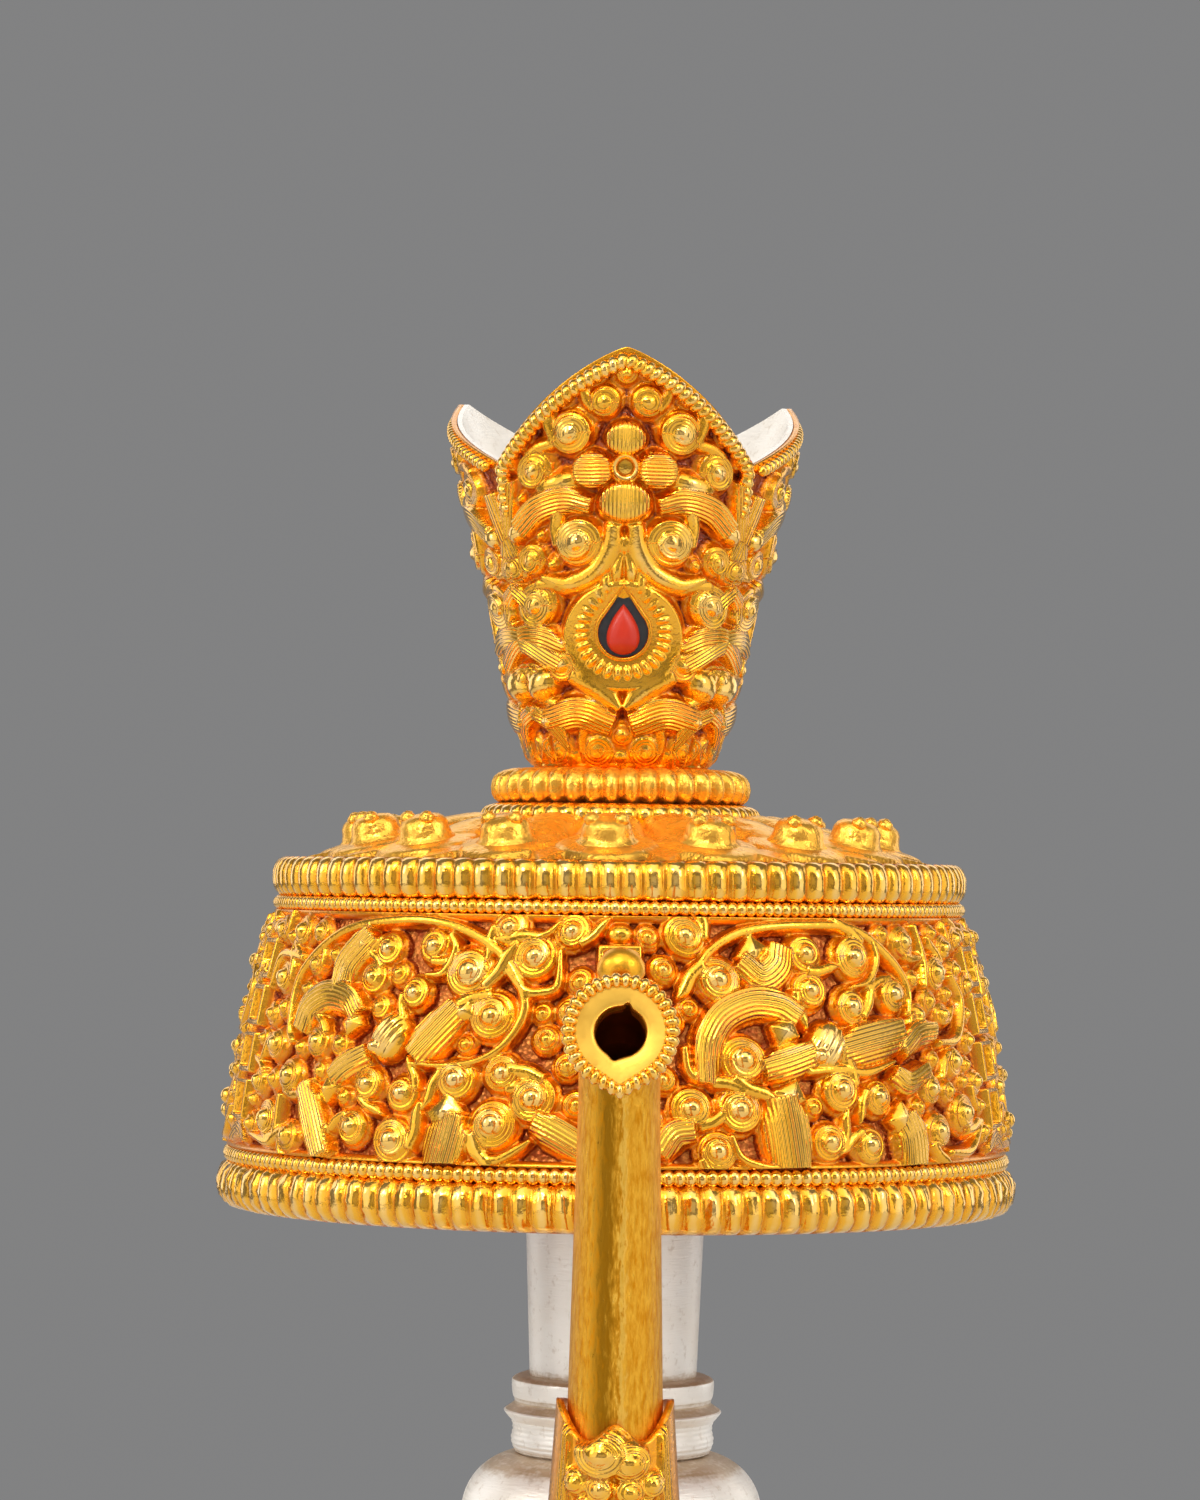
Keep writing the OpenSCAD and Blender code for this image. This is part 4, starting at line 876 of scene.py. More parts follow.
# Motifs of one half of a crown petal, across and up from its foot: curls with radius and height, strips with
# half width, height, pitch of lines, shares at the ends, bowl and lean, and bosses with radii, height, tilt
# and power; then the petals of its flower, from the flower's middle, with radii and tilt
PETAL_CURLS = [
    (2.6, 44.6, 1.9, 1.5), (6.6, 41.0, 2.6, 1.9), (11.4, 36.5, 2.4, 1.7), (5.5, 27.9, 2.9, 2.2),
    (11.8, 25.8, 2.0, 1.6), (10.9, 20.4, 2.8, 2.1), (7.2, 13.1, 2.1, 1.7), (13.6, 11.4, 2.1, 1.7),
    (2.9, 2.5, 2.0, 1.5), (8.0, 2.5, 2.0, 1.5), (12.6, 2.5, 1.8, 1.4), (15.6, 25.0, 1.9, 1.5)]
PETAL_STRIPS = [
    ([(4.4, 32.3), (7.2, 32.9), (10.6, 32.0), (13.0, 30.0)], 2.0, 1.7, COMB, (0.6, 0.85), 0.4, 0.2),
    ([(1.3, 29.6), (1.7, 27), (3.4, 24.2), (6.6, 22.8), (9.9, 23.8)], 1.45, 1.5, 0, (0.8, 0.3), 0.9, 0),
    ([(7.2, 15.2), (10.4, 16.4), (13.8, 16.2), (17.0, 13.6)], 2.0, 1.6, COMB, (0.4, 0.8), 0.5, 0),
    ([(0.4, 7.9), (2.6, 9.9), (5.6, 11.6)], 1.5, 1.4, 0, (0.5, 0.9), 0.9, 0),
    ([(1.6, 5.9), (5, 7.2), (8.8, 6.4)], 2.3, 1.5, COMB, (0.7, 0.85), 0.5, 0),
    ([(11.4, 7.6), (14, 6), (15, 2.6)], 1.5, 1.4, COMB, (0.6, 0.6), 0.35, 0),
    ([(15.6, 35), (15.9, 30.5), (16.2, 26.8)], 1.5, 1.2, COMB, (0.8, 0.8), 0.35, 0),
    ([(14.6, 22.6), (16.2, 20.6), (16.0, 17.8)], 1.4, 1.4, COMB, (0.6, 0.6), 0.35, 0)]
PETAL_BOSSES = [
    (8.2, 34.9, 3.6, 1.5, 1.6, -10, 0.6), (13.9, 29.2, 1.5, 1.5, 1.9, 0, 0.5),
    (10.4, 10.6, 2.3, 2.2, 2.1, 0, 0.5)]
FLOWER_PETALS = [
    (0, 3.7, 2.4, 2.1, 0), (0, -3.8, 3.0, 2.5, 0), (-3.8, 0, 2.3, 2.5, 90), (3.8, 0, 2.3, 2.5, 90)]


def petal_motifs(relief, middle, wide, tall):
    """Ornament of one crown petal: mirrored pairs about its middle, a flower and a ribbed pear in a dish."""
    def lift(h):
        """Height on this petal, drawn in above its stone."""
        return h if h < LIFT_FROM else LIFT_FROM + (h - LIFT_FROM) * tall

    for hand in (-1, 1):
        relief.at(middle, Z_CROWN, wide, hand)
        for u, h, ru, rv, high, tilt, power in PETAL_BOSSES:
            relief.dome(u, lift(h), ru, rv, high, tilt=tilt, power=power)
        for path, *strip in PETAL_STRIPS:
            relief.ribbon([(u, lift(h)) for u, h in path], *strip)
        for u, h, r, high in PETAL_CURLS:
            relief.snail(u, lift(h), r * 1.08, high=high, turns=1.7, start=0.3 * u, base=0.5, ball=0.28,
                         tail=1.9 * u + 0.3 * h)
        relief.facet(9.2, 6.2, 1.4, 1.7)
    relief.at(middle, Z_CROWN, wide)
    flower = lift(36.6)
    relief.dome(0, flower - 4.1, 3.5, 2.9, 1.5, power=0.3)
    for du, dh, ru, rv, tilt in FLOWER_PETALS:
        relief.dome(du, flower + dh, ru, rv, 2.3, tilt=tilt, power=0.14, lines=0.44)
    relief.dome(0, flower, 1.9, 1.9, 1.5, power=0.2)
    relief.dome(0, lift(27.4), 0.75, 1.5, 1.2)
    cols, du, dv = relief.near(0, PEAR_UP, 9)
    t = np.arctan2(du, dv)
    k = np.hypot(du, dv) / pear_radius(t, PEAR_R, PEAR_POINT)
    ring = np.sin(PI * np.clip((k - 1.02) / 0.76, 0, 1)) ** 0.5 * (0.7 + 0.75 * np.abs(np.sin(14 * t)) ** 0.6)
    relief.lay(cols, k < 1.78, np.where(k > 1.02, ring, 0.1))
    dish = np.hypot(du / 7.7, (dv + 0.5) / 7.1)
    relief.lay(cols, dish < 1.04, (0.7 + 0.75 * dish ** 2) * (1 - smooth(dish, 0.88, 1.04)))


def back_seam_motifs(relief):
    """Flower, leaf and curls over the seam at the back, between the two side petals."""
    relief.at(PI, Z_CROWN)
    for du, dh in ((0, 3.5), (0, -3.5), (-3.5, 0), (3.5, 0)):
        relief.dome(du, 19.5 + dh, 2.2, 2.2, 2.6, tilt=0 if dh else 90, power=0.14, lines=0.44)
    relief.dome(0, 19.5, 1.7, 1.7, 2.2, power=0.4)
    leaf = [(-1.6, 2.8), (0.2, 7.0), (0.6, 10.5), (-0.6, 14.2)]
    relief.ribbon(leaf, 2.4, 2.3, lines=COMB, ends=(0.6, 0.4), bowl=0.5)
    curls = [(0.6, 26.6, 2.3), (-4.9, 11.2, 2.5), (4.6, 7.4, 2.3), (5.6, 13.6, 1.9), (-5.0, 25.0, 2.0)]
    for u, h, r in curls:
        relief.snail(u, h, r, high=2.4, turns=1.7, start=0.3 * u, base=0.5, ball=0.28)


def crown_petals():
    """The three petals of the crown: heights carried out from a flared cone that ends at the petals' edge."""
    cols, rows = 720 // COARSE, 290 // COARSE
    angle = np.linspace(-PI, PI, cols, endpoint=False) + 1e-9
    rim = rim_height(angle)[:, None]
    up = rim * np.linspace(0, 1, rows)[None, :]
    relief = Relief(angle, up + Z_CROWN, crown_radius(up))
    petal_motifs(relief, 0, 1.0, 1.0)
    for middle in (SIDE_MIDDLE, -SIDE_MIDDLE):
        petal_motifs(relief, middle, SIDE_WIDE, SIDE_TALL)
    back_seam_motifs(relief)
    first, last = np.searchsorted(angle, (-FRONT_HALF, FRONT_HALF))
    relief.at(0, Z_CROWN)
    relief.fill_gaps(0.16 * COARSE, 0.85, 1.5, 16, first, last)
    relief.sink(0.6, 2 // COARSE, 3)
    relief.soften()
    edge = np.minimum(rim - up, up + 0.6)
    worked = relief.high * smooth(edge, 0.9, 2.6)
    high = worked * (0.4 + 0.6 * smooth(up, 2.0, 7.0))
    high = np.where(edge < 1.3, np.maximum(high, 0.1), high)
    lean = crown_lean(up)
    wall = relief.radius + tip_flare(angle[:, None], up)
    z = Z_CROWN + up - high * np.sin(lean)
    r = np.concatenate([wall[:, :1] - np.array([0.9, 0.5]), wall + high * np.cos(lean),
                        wall[:, -1:] - np.array([0.3, 0.65, 0.65])], 1)
    z = np.concatenate([z[:, [0, 0]], z, z[:, -1:] - np.array([0, 0.05, 1.2])], 1)
    # Rise follows the worked height, so ground and low parts get painted shade; foot lifts it near the
    # crown's foot to lighten that shade.
    foot = 0.9 * (1 - smooth(up, 1.8, 3.2))
    rise = np.where(edge < 1.2, 0.6 + 0.3 * (up < 1), np.clip((worked + 0.5) / 2.1, foot, 1))
    layers = [edged(x, 2, 3) for x in (rise, relief.line, relief.cut)]
    points = from_front(angle[:, None], r, z)
    parts = [("crown_petal_left", np.arange(0, first + 1)), ("crown_petal_front", np.arange(first, last + 1)),
             ("crown_petal_right", np.arange(last, cols + 1) % cols)]
    chased_sheets(parts, points, layers, "crown", "crown_shell", "crown_snails")


def crown_lining():
    """White inside of the crown: a thin sheet that follows the petals' edge, folded at top and bottom."""
    angle = np.linspace(-PI, PI, 420 // COARSE, endpoint=False)[:, None]
    rim = rim_height(angle)
    share = np.linspace(0, 1, 16)
    up = rim * np.concatenate([share, share[::-1]])
    r = crown_radius(up) + tip_flare(angle, up) - np.repeat([1.3, 0.7], 16)
    points = from_front(angle, r, Z_CROWN + np.clip(up, 0, rim - 0.02))
    piece = surface("crown_white_lining", points, around=True, across=True, flip=True, sharp=50)
    place(piece, "crown", "silver", SILVER, "crown_lining")


def crown_border():
    """Roped wires along the petals' edges; the front one is turned down below each valley."""
    side = (SIDE_HALF, 1.25, 0.75)
    for name, middle, half, inset, r in (("front", 0, FRONT_HALF, 1.75, 1.1), ("right", SIDE_MIDDLE, *side),
                                         ("left", -SIDE_MIDDLE, *side)):
        a = np.linspace(-0.945 * half, 0.945 * half, 420 // COARSE)
        h = rim_height(middle + a) - inset
        if name == "front":
            low = np.linspace(30.6, 35.2, 40)
            bow = half * (0.94 + 0.02 * np.sin(PI * (low - 30.6) / 4.6))
            a = np.concatenate([-bow, a, bow[::-1]])
            h = np.concatenate([low, h, low[::-1]])
        fine = curve_through(joined(a, h)[::6], 760 // COARSE)
        a, h = middle + fine[:, 0], fine[:, 1]
        path = from_front(a, crown_radius(h) + tip_flare(a, h) + 0.5, Z_CROWN + h)
        along = np.gradient(path, axis=0)
        out = from_front(a, 1.0, -0.2)
        up = np.cross(along, out)
        out, up = (x / np.linalg.norm(x, axis=1)[:, None] for x in (out, up))
        beaded_loop("crown_border_" + name, "crown", "crown_rim_wire", path, out, up, r, 1.12, slant=0.6,
                    closed=False, waist=0.66)


def on_petal(middle, h, across, up, out):
    """Points given across, up and out from a place on a petal's middle line, in the part's frame."""
    lean = crown_lean(h)
    radial = crown_radius(h) + up * np.sin(lean) + out * np.cos(lean)
    z = Z_CROWN + h + up * np.cos(lean) - out * np.sin(lean)
    x = radial * math.sin(middle) + across * math.cos(middle)
    return joined(x, across * math.sin(middle) - radial * math.cos(middle), z)


def crown_settings():
    """Pear settings, dark beds, coral drops and round collets: profiles carried round an outline."""
    t = circle(96)[:, None]
    s, c = np.sin(t), np.cos(t)
    wall = np.array([(0, -0.4), (0, 1.35), (-0.12, 1.5), (-0.4, 1.5), (-0.52, 1.35), (-0.52, 0.2)])
    wall_r = pear_radius(t, PEAR_R, PEAR_POINT) + wall[:, 0]
    inward = np.array([1.0, 0.7, 0.35, 0.0])
    bed_r = pear_radius(t, 3.1, 5.35) * inward
    k = np.sin(np.linspace(0, PI / 2, 18))[::-1]
    drop = (2.62 * s * np.abs(np.sin(t / 2)) ** 0.95 * k, (3.15 * c + 0.75) * k + 0.05 * (1 - k),
            0.9 + 1.5 * np.sqrt(np.clip(1 - k ** 2, 0, 1)))
    collet_r = np.array([1.75, 1.7, 1.5, 1.2, 1.0, 0.92, 0.02])
    collet_out = np.array([0.2, 2.1, 2.35, 2.3, 1.9, 0.9, 0.9])
    collet_rise = np.array([0.6, 0.8, 1, 1, 0.6, 0.12, 0.1])
    for i, (middle, tall) in enumerate(((0, 1.0), (SIDE_MIDDLE, SIDE_TALL), (-SIDE_MIDDLE, SIDE_TALL)), 1):
        def piece(name, h, across, up, out, **more):
            """A numbered piece on this petal."""
            return surface("%s_%d" % (name, i), on_petal(middle, h, across, up, out), around=True, **more)

        setting = piece("stone_setting", PEAR_UP, wall_r * s, wall_r * c, wall[:, 1], sharp=60, rise=0.55)
        gilded(setting, "crown", "stone_bezels")
        bed = piece("setting_bed", PEAR_UP, bed_r * s, bed_r * c, 0.95 + 0.1 * inward)
        place(bed, "crown", "pitch", PITCH, "pitch_beds")
        place(piece("coral_drop", PEAR_UP - 0.35, *drop), "crown", "coral", CORAL, "coral_stones")
        flower = piece("flower_collet", LIFT_FROM + 11 * tall, collet_r * s, collet_r * c, collet_out,
                       sharp=60, rise=collet_rise)
        gilded(flower, "crown", "flowers")


# Spout

# Radius of the lower bend, length of the straight run, radius of the hook, and the headings between them
SPOUT_BEND, SPOUT_RUN, SPOUT_HOOK = 45, 48.5, 9
SPOUT_ROOT, SPOUT_LEAN, SPOUT_END = math.radians(30), math.radians(84), math.radians(12)
# Radii of the tube below, at its tip and inside, where its centre line starts, and lengths along that line
SPOUT_R, SPOUT_TIP_R, SPOUT_BORE = 5.6, 4.5, 3.2
SPOUT_START = np.array([47.754, 81.5])
SPOUT_FIRST = SPOUT_BEND * (SPOUT_LEAN - SPOUT_ROOT)
SPOUT_LENGTH = SPOUT_FIRST + SPOUT_RUN + SPOUT_HOOK * (SPOUT_LEAN - SPOUT_END)


def spout_line(d):
    """Place (outward, up) and heading of the spout's centre line at distances along it: bend, run, hook."""
    past = np.clip(d - SPOUT_FIRST - SPOUT_RUN, 0, None) / SPOUT_HOOK
    a = np.clip(d / SPOUT_BEND, 0, SPOUT_LEAN - SPOUT_ROOT) + SPOUT_ROOT
    b = SPOUT_LEAN - np.clip(past, 0, SPOUT_LEAN - SPOUT_END)
    c, s = math.cos(SPOUT_LEAN), math.sin(SPOUT_LEAN)
    p = SPOUT_START + SPOUT_BEND * joined(np.sin(a) - math.sin(SPOUT_ROOT), math.cos(SPOUT_ROOT) - np.cos(a))
    p = p + np.clip(d - SPOUT_FIRST, 0, SPOUT_RUN)[..., None] * np.array([c, s])
    p = p + SPOUT_HOOK * joined(s - np.sin(b), np.cos(b) - c)
    return p, np.where(d < SPOUT_FIRST, SPOUT_ROOT + d / SPOUT_BEND, b)


def round_spout(d, across, inward):
    """Points at offsets across and inward (towards the vase) from the spout's centre line."""
    p, a = spout_line(d)
    return joined(across, inward * np.sin(a) - p[..., 0], inward * np.cos(a) + p[..., 1])


def spout_tube():
    """Tube that narrows to its mouth, with an uneven seam down its front, then its bore back inside."""
    d = np.linspace(2, SPOUT_LENGTH, 200 // COARSE)[:, None]
    t = circle(72)[None, :]
    front = PI - t
    ends = [0, SPOUT_FIRST, SPOUT_FIRST + SPOUT_RUN, SPOUT_LENGTH]
    r = np.interp(d, ends, [SPOUT_R, SPOUT_R, SPOUT_TIP_R, SPOUT_TIP_R])
    lump = np.sin(1.9 * d) * np.sin(0.73 * d + 1) + 0.5 * np.sin(5.1 * d)
    seam = np.exp(-((front - 0.12 - 0.03 * np.sin(0.4 * d)) / 0.09) ** 2) * (0.16 + 0.10 * lump)
    seam = seam - 0.18 * np.exp(-((front + 0.2) / 0.16) ** 2) * (1 + 0.2 * lump)
    shown = smooth(d, SPOUT_FIRST - 8, SPOUT_FIRST + 4) * (1 - smooth(d, SPOUT_LENGTH - 10, SPOUT_LENGTH - 3))
    r = r + seam * shown
    back = np.linspace(SPOUT_LENGTH, SPOUT_LENGTH - 40, 40)[:, None]
    points = np.concatenate([round_spout(d, r * np.sin(t), r * np.cos(t)),
                             round_spout(back, SPOUT_BORE * np.sin(t), SPOUT_BORE * np.cos(t))])
    # The bore's line of -0.28 falls inside the drawn finish's painted dark band: a painted shade down the
    # bore.
    line = np.concatenate([front + 0 * d, 0 * front - 0.28 + 0 * back])
    piece = surface("spout_seamed_tube", points, across=True, flip=True, sharp=50, line=line,
                    cut=np.concatenate([d, back]) / 10)
    gilded(piece, "vase", "spout_tube", finish=DRAWN)


def at_mouth(across, up, ahead):
    """Points given across, up and ahead from the end of the spout, in the part's frame."""
    p, a = spout_line(np.array(SPOUT_LENGTH))
    c, s = np.cos(a), np.sin(a)
    return joined(across, up * s - ahead * c - p[0], p[1] + ahead * s + up * c)


def spout_mouth():
    """Pear flange with a funnel lip round a hole with two small points, and the beads round it."""
    t = circle(120)[:, None]
    pear = pear_radius(t - PI, 5.0, 6.05)
    hole = 2.8 + 0.5 * np.exp(-(wrapped(t - 0.26) / 0.13) ** 2) + 0.4 * np.exp(-((t - PI - 0.22) / 0.2) ** 2)
    # face is the rise of each ring of the profile: low down the bore and on the back, where the satin finish
    # paints shade.
    share, ahead, face = np.array([
        (0, -6, 0), (0, -0.4, 0), (0, 0.75, 0.6), (0.08, 1.0, 0.95), (0.25, 1.08, 1), (0.6, 1.14, 1),
        (0.9, 1.2, 0.95), (1, 1.2, 0.5), (1, 0, 0.3), (0.9, 0, 0.3)]).T
    r = hole + (pear - hole) * share
    points = at_mouth(r * np.sin(t), r * np.cos(t), ahead)
    flange = surface("spout_mouth_flange", points, around=True, sharp=50, rise=face)
    gilded(flange, "vase", "spout_mouth", finish=SATIN)
    t = circle(400 // COARSE)
    r, set_out = pear_radius(t - PI, 5.6, 6.55), 0.95
    path = at_mouth(r * np.sin(t), r * np.cos(t), set_out)
    out = at_mouth((r + 1) * np.sin(t), (r + 1) * np.cos(t), set_out) - path
    ahead = at_mouth(r * np.sin(t), r * np.cos(t), set_out + 1) - path
    beaded_loop("spout_mouth_beads", "vase", "spout_beaded_rim", path, out, ahead, 0.92, 1.03)


def spout_finial():
    """Small bud on the upper bend: a turned profile set square to the tube."""
    angle = math.radians(116)
    c, s = math.cos(angle), math.sin(angle)
    end = spout_line(np.array(SPOUT_FIRST + SPOUT_RUN))[0]
    centre = end + SPOUT_HOOK * np.array([math.sin(SPOUT_LEAN), -math.cos(SPOUT_LEAN)])
    seat = centre + (SPOUT_HOOK + SPOUT_TIP_R) * np.array([c, s])
    r, up = np.array([(1.8, -0.2), (1.85, 0.5), (1.4, 0.9), (1.35, 1.9), (2.1, 2.5), (2.65, 3.4), (2.6, 4.4),
                      (2.0, 5.5), (1.0, 6.1), (0.5, 6.3), (0.02, 6.35)]).T
    t = circle(48)[:, None]
    side = r * np.sin(t)
    points = joined(r * np.cos(t), side * s - up * c - seat[0], seat[1] + up * s + side * c)
    gilded(surface("spout_bud", points, around=True), "vase", "spout_finial", finish=PLAIN)


def socket_radius(share):
    """Radius of the sheath round the spout, at a share of its length."""
    return 6.5 + 4.0 * (1 - share) ** 1.1


# Curls on the front of the sheath: across, up, radius and height
SOCKET_CURLS = [
    (1.4, 0, 3.0, 2.6), (-1.5, -0.9, 2.4, 2.3), (4.2, -3.4, 1.6, 1.7), (1.5, -3.9, 1.6, 1.9),
    (-1.6, -4.2, 1.7, 1.8), (-4.2, -3.6, 1.6, 1.6), (2.9, -6.6, 1.9, 1.8), (-0.4, -7.2, 2.0, 1.9),
    (-3.4, -6.8, 1.8, 1.7), (1.8, -10.4, 2.3, 1.7), (-2.2, -11, 2.3, 1.6), (0.4, -14.8, 2.4, 1.5)]


def spout_socket():
    """Leaf sheath round the foot of the spout: a tapered tube with two side lips and curls on its front."""
    start = SPOUT_BEND * math.radians(9)
    length = SPOUT_FIRST - start + 15.5
    t = np.linspace(-PI, PI, 208 // COARSE, endpoint=False)
    s, c = np.sin(t)[:, None], np.cos(t)[:, None]
    point = 4.5 * np.exp(-((PI - np.abs(t[:, None])) / 0.42) ** 2)
    climb = length - (np.where(c < 0, 6.0, 3.0) * c ** 2 - point)
    share = np.linspace(0, 1, 168 // COARSE)[None, :]
    d = share * climb
    relief = Relief(t, d, socket_radius(share) + 0 * d)
    relief.at(PI, length - 4.5)
    for u, v, r, high in SOCKET_CURLS:
        relief.snail(u, v, r, high=high, turns=1.6, start=0.2 * u, base=0.4)
    for hand in (-1, 1):
        lip = [(hand * 5.8, 3.0), (hand * 6.2, -4), (hand * 6.8, -12), (hand * 7.2, -22)]
        relief.ribbon(lip, 1.0, 0.7, lines=0.5)
    relief.soften()
    high = np.maximum(relief.high * smooth(climb - d, 0.0, 0.5), 0)
    r = relief.radius + high
    fold = np.linspace(1, 0.55, 12)[None, :]
    inner_r = np.maximum(socket_radius(fold) - 0.8, 5.7)
    points = np.concatenate([round_spout(start + d, r * s, r * c),
                             round_spout(start + fold * climb, inner_r * s, inner_r * c)], 1)
    # Rise follows the curls' height, so the sheath's ground gets the finish's painted shade.
    rise = edged(0.5 + 0.4 * smooth(high, 0.0, 1.2), 0, 12)
    line, cut = (np.pad(x, ((0, 0), (0, 12))) for x in (relief.line, relief.cut))
    piece = surface("spout_leaf_socket", points, around=True, rise=rise, line=line, cut=cut, flip=True)
    gilded(piece, "vase", "spout_socket", "spout_scroll")


# Silver body

# Belly: radii and sheet, half its height, and the end and full radius that its arc is drawn from; then the
# neck's foot radius and flare, the stem's radii and lower end, and the sizes of knop and collar
BELLY_R, BELLY_INNER_R, SHEET = 54.97, 53.8, 1.2
BELLY_HALF, BELLY_END, BELLY_DRAWN = 39.5, 17, 55
NECK_R, NECK_FLARE = 10.4, 2.5
STEM_R, STEM_BORE, STEM_FOOT = 9.12, 8.12, 165.25
KNOP_R, KNOP_TALL, COLLAR_R, COLLAR_ROOT, COLLAR_TALL = 18.7, 12, 13.5, 11.6, 9.7

# Collar from its foot up: setbacks in shares of its radius, heights in shares of its height
COLLAR_OUTLINE = [
    (0.1, 0.03), (0.074, 0.12), (0.066, 0.2), (0.08, 0.31), (0.07, 0.41), (0.036, 0.47), (0, 0.535),
    (0.004, 0.56), (0.03, 0.585), (0.088, 0.645), (0.092, 0.69), (0.076, 0.75), (0.067, 0.86), (0.07, 0.94),
    (0.096, 0.975)]


def silver_body():
    """Belly, knop, collar, neck and stem as closed turned profiles; rise marks where a brown tarnish lies,
    which on the knop's top under the collar is also painted shadow.
    """
    wide = math.degrees(math.acos(BELLY_END / BELLY_DRAWN))
    tall = BELLY_HALF / math.sin(math.radians(wide))
    inner = tall - SHEET
    tip = math.degrees(math.asin((BELLY_HALF - SHEET) / inner))
    bottom = Z_SEAM - BELLY_HALF
    bowl = np.concatenate([[(0.05, bottom)], arc(0, Z_SEAM, BELLY_R, tall, -wide, 0, 44),
                           arc(0, Z_SEAM, BELLY_INNER_R, inner, 0, -tip, 44), [(0.05, bottom + SHEET)]])
    silvered("belly_lower_half", bowl, "belly_bowl", 192, BELLY)
    dome = np.concatenate([arc(0, Z_SEAM, BELLY_R, tall, 0, wide, 44),
                           [(NECK_BORE, Z_KNOP), (NECK_BORE, Z_KNOP - SHEET)],
                           arc(0, Z_SEAM, BELLY_INNER_R, inner, tip, 0, 44)])
    silvered("belly_upper_half", dome, "belly_dome", 192, BELLY)
    swell, low = 0.41 * KNOP_R, 0.39 * KNOP_TALL
    knop = [arc(KNOP_R - swell, Z_KNOP + low, swell, part / math.sin(math.radians(turn)), a0, a1, n)
            for part, turn, a0, a1, n in ((low, 40, -40, 0, 20), (KNOP_TALL - low, 78, 0, 78, 30))]
    knop = np.concatenate([[(NECK_BORE, Z_KNOP)], *knop, [(NECK_BORE, Z_COLLAR)]])
    # Brown tarnish on the knop's top: partly patina, partly a painted shadow under the collar.
    film_and_shadow = np.interp(knop[:, 1], [Z_COLLAR - 2.6, Z_COLLAR - 1.3], [1, 0.28])
    silvered("neck_round_knop", knop, "neck_knop", rise=film_and_shadow)
    setback, up = curve_through(COLLAR_OUTLINE, 120).T
    up = COLLAR_TALL * up
    r = COLLAR_R * (1 - setback) + 0.035 * np.sin(2 * PI * up / 0.62) * (up < 4.2)
    collar = np.concatenate([[(NECK_BORE, Z_COLLAR), (COLLAR_ROOT, Z_COLLAR)], joined(r, Z_COLLAR + up),
                             [(COLLAR_ROOT, Z_NECK), (NECK_BORE, Z_NECK)]])
    up = collar[:, 1] - Z_COLLAR
    film_and_shadow = np.where((up > 6.5) & (up < 7.0) | (up < 0.5), 0.5, 1.0)
    film_and_shadow = np.where((up > 5.5) & (up < 6.5) | (up > 9.15), 0.25, film_and_shadow)
    silvered("neck_ringed_collar", collar, "neck_collar", rise=film_and_shadow)
    z = np.linspace(Z_NECK, Z_SEAT, 60)
    neck = joined(NECK_R + NECK_FLARE * (z - Z_NECK) / (Z_SEAT - Z_NECK), z)
    neck = np.concatenate([neck, [(NECK_BORE, Z_SEAT), (NECK_BORE, Z_NECK)]])
    film_and_shadow = np.interp(neck[:, 1], [Z_NECK, Z_NECK + 0.4, Z_NECK + 1.4], [0.3, 0.6, 1.0])
    silvered("neck_tapered_tube", neck, "neck_tube", rise=film_and_shadow)
    stem = [(STEM_R, STEM_FOOT), (STEM_R, Z_CROWN), (STEM_BORE, Z_CROWN), (STEM_BORE, STEM_FOOT)]
    silvered("crown_plug_stem", stem, "crown_stem", body="crown")


# Foot

def lotus_foot():
    """A row of raised petals round the dome of the foot: heights over angle and the dome's arc."""
    foot_r, dome_r, lip, dome_h = 36.8, 19 + 17.8 * 0.45, 6.0, 16.5 * 0.6
    a = circle(576 // COARSE)[:, None]
    t = np.linspace(0.02, PI / 2 - 0.02, 56 // COARSE)[None, :]
    petals = 18
    pitch = 2 * PI / petals
    k = np.abs(((a + pitch / 2) % pitch - pitch / 2) / (pitch / 2))
    edge = 0.96 * (1 - np.clip(k / 0.96, 0, 1) ** 2.4) ** 0.7
    inside = smooth(edge - (1 - t / (PI / 2)), 0, 0.06)
    rib = np.exp(-(k / 0.12) ** 2)
    high = 0.08 + inside * (0.55 + 0.35 * smooth(k, 0.5, 0.85) + 0.15 * rib)
    points = from_side(a, dome_r + (foot_r - dome_r + high) * np.cos(t), lip + (dome_h + high) * np.sin(t))
    # Rise follows the raised petals, so the field between them gets the finish's painted shade.
    piece = surface("foot_lotus_petals", points, around=True, flip=True, rise=0.3 + 0.7 * inside)
    gilded(piece, "vase", "foot_petals")


def dress_nodes():
    """Finishes for the part nodes that are shown as they are."""
    plain = ("base_plate", "foot", "spout_root", "canopy_top_plate", "canopy_sleeve")
    for name, finish in (("canopy_liner", GROUND), *((name, PLAIN) for name in plain)):
        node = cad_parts[name]
        node.data.materials.clear()
        node.data.materials.append(finish)


# Studio

# Each lamp's name, place and size in metres and power in watts; all are aimed at one point on the axis
LAMP_AIM = np.array([0, 0, 0.19])
LAMPS = [
    ("lamp_left", (-0.95, -0.55, 0.5), (1.2, 1.3), 4.6),
    ("lamp_right", (0.95, -0.45, 0.45), (1.1, 1.3), 4.1),
    ("lamp_top", (0.0, -0.55, 1.0), (1.3, 0.8), 4.6),
    ("lamp_back", (0.0, 1.0, 0.92), (1.6, 0.6), 3.2),
    ("lamp_front", (0.1, -1.4, 0.3), (1.2, 0.6), 0.7),
    ("lamp_key", (-0.28, -0.85, 0.88), (0.22, 0.22), 3.4),
    ("lamp_rim_left", (-0.9, -0.35, 0.62), (0.22, 0.4), 1.6),
    ("lamp_rim_right", (0.85, -0.6, 0.66), (0.22, 0.4), 1.8),
    ("lamp_edge_left", (-0.8, 0.62, 0.36), (0.5, 0.7), 1.3),
    ("lamp_edge_right", (0.8, 0.62, 0.36), (0.5, 0.7), 1.3)]


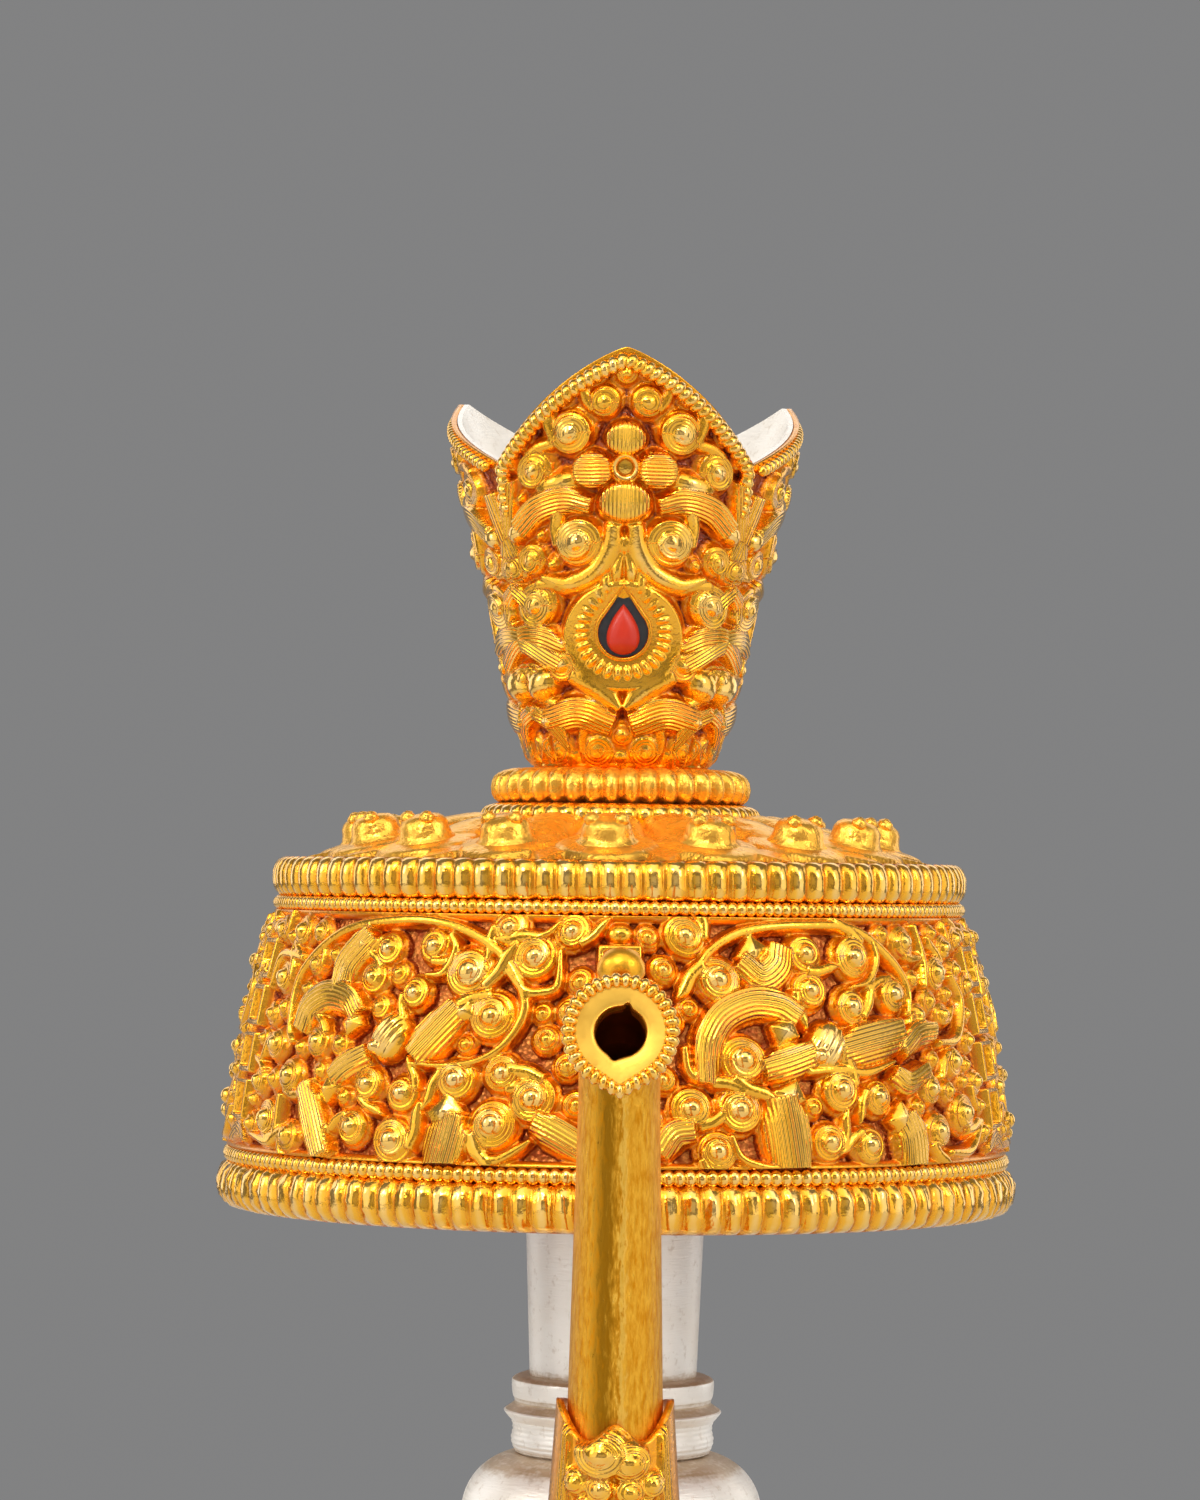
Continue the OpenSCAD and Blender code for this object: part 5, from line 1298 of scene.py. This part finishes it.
def studio():
    """Pale round table, grey surroundings, soft lamps and the camera at the picture's place."""
    points = from_side(circle(96)[:, None], np.array([0.0, 300.0, 620.0]), -0.05)
    floor = surface("pale_floor", points, around=True)
    pale = clouded_finish("floor_pale", (3.0, 2.0), (0.62,) * 3, (0.66,) * 3, {"Roughness": 0.7})
    floor.data.materials.append(pale)

    scene = bpy.context.scene
    scene.world = bpy.data.worlds.new("studio_grey")
    scene.world.use_nodes = True
    n = Nodes(scene.world.node_tree)
    rays = n.add("LightPath").outputs
    seen = n.math("MAXIMUM", rays["Is Camera Ray"], rays["Is Glossy Ray"])
    seen = n.math("MAXIMUM", seen, rays["Is Transmission Ray"])
    back = n.tree.nodes["Background"].inputs
    n.give(back["Color"], n.mixed(seen, (0.34, 0.34, 0.345), (0.222, 0.222, 0.224)))
    n.give(back["Strength"], 1.0)

    for name, spot, size, power in LAMPS:
        light = bpy.data.lights.new(name, "AREA")
        light.shape = "RECTANGLE"
        light.size, light.size_y = size
        light.energy = power
        lamp = new_object(name, light)
        lamp.location = spot
        x, y, z = LAMP_AIM - spot
        lamp.rotation_euler = (math.atan2(math.hypot(x, y), -z), 0, math.atan2(y, x) - PI / 2)

    lens = bpy.data.cameras.new("camera")
    lens.sensor_fit = "VERTICAL"
    lens.sensor_height = 36.0
    lens.lens = 119.0
    lens.clip_start = 0.01
    camera = new_object("camera", lens)
    camera.location = (-0.00244, -0.620, 0.189)
    camera.rotation_euler = (PI / 2 + math.radians(1.44), math.radians(-0.75), 0)
    scene.camera = camera
    scene.view_settings.view_transform = "Standard"


silver_body()
lotus_foot()
gadrooned_ring("foot_lip_ring", "vase", "foot_lower_ring", (36.85, 39.2), (0.6, 5.4), 84, 0.9)
gadrooned_ring("foot_waist_ring", "vase", "foot_upper_ring", (19.05, 21.0), (22.5, 25.65), 52, 0.8)
spout_tube()
spout_mouth()
spout_finial()
spout_socket()
gadrooned_ring("canopy_thick_upper_ring", "canopy", "canopy_upper_ring",
               (41.6, 43.35), (185.8, 190.8), 104, 0.9)
gadrooned_ring("canopy_thick_lower_ring", "canopy", "canopy_lower_ring",
               (47.2, 49.9), (147.5, 153.5), 124, 0.75, rough=0.16)
gadrooned_ring("canopy_crown_seat", "canopy", "canopy_seat_ring", (15.3, 17.65), (194.6, 197.8), 54, 0.6)
beaded_circle("canopy_upper_beads", "canopy_upper_wire", 42.3, 185.1, 0.9, 1.15)
beaded_circle("canopy_lower_beads", "canopy_lower_wire", 47.9, 154.1, 1.05, 1.3)
canopy_band()
canopy_petals()
canopy_bosses()
gadrooned_ring("crown_foot_ring", "crown", "crown_base_ring", (12.4, 16.3), (197.3, 202.2), 39, 1.1,
               fullness=2.5, pale=0.5, web=3.1, plump=1.1, lift=0.79, finish=SATIN)
crown_petals()
crown_lining()
crown_border()
crown_settings()
dress_nodes()
studio()
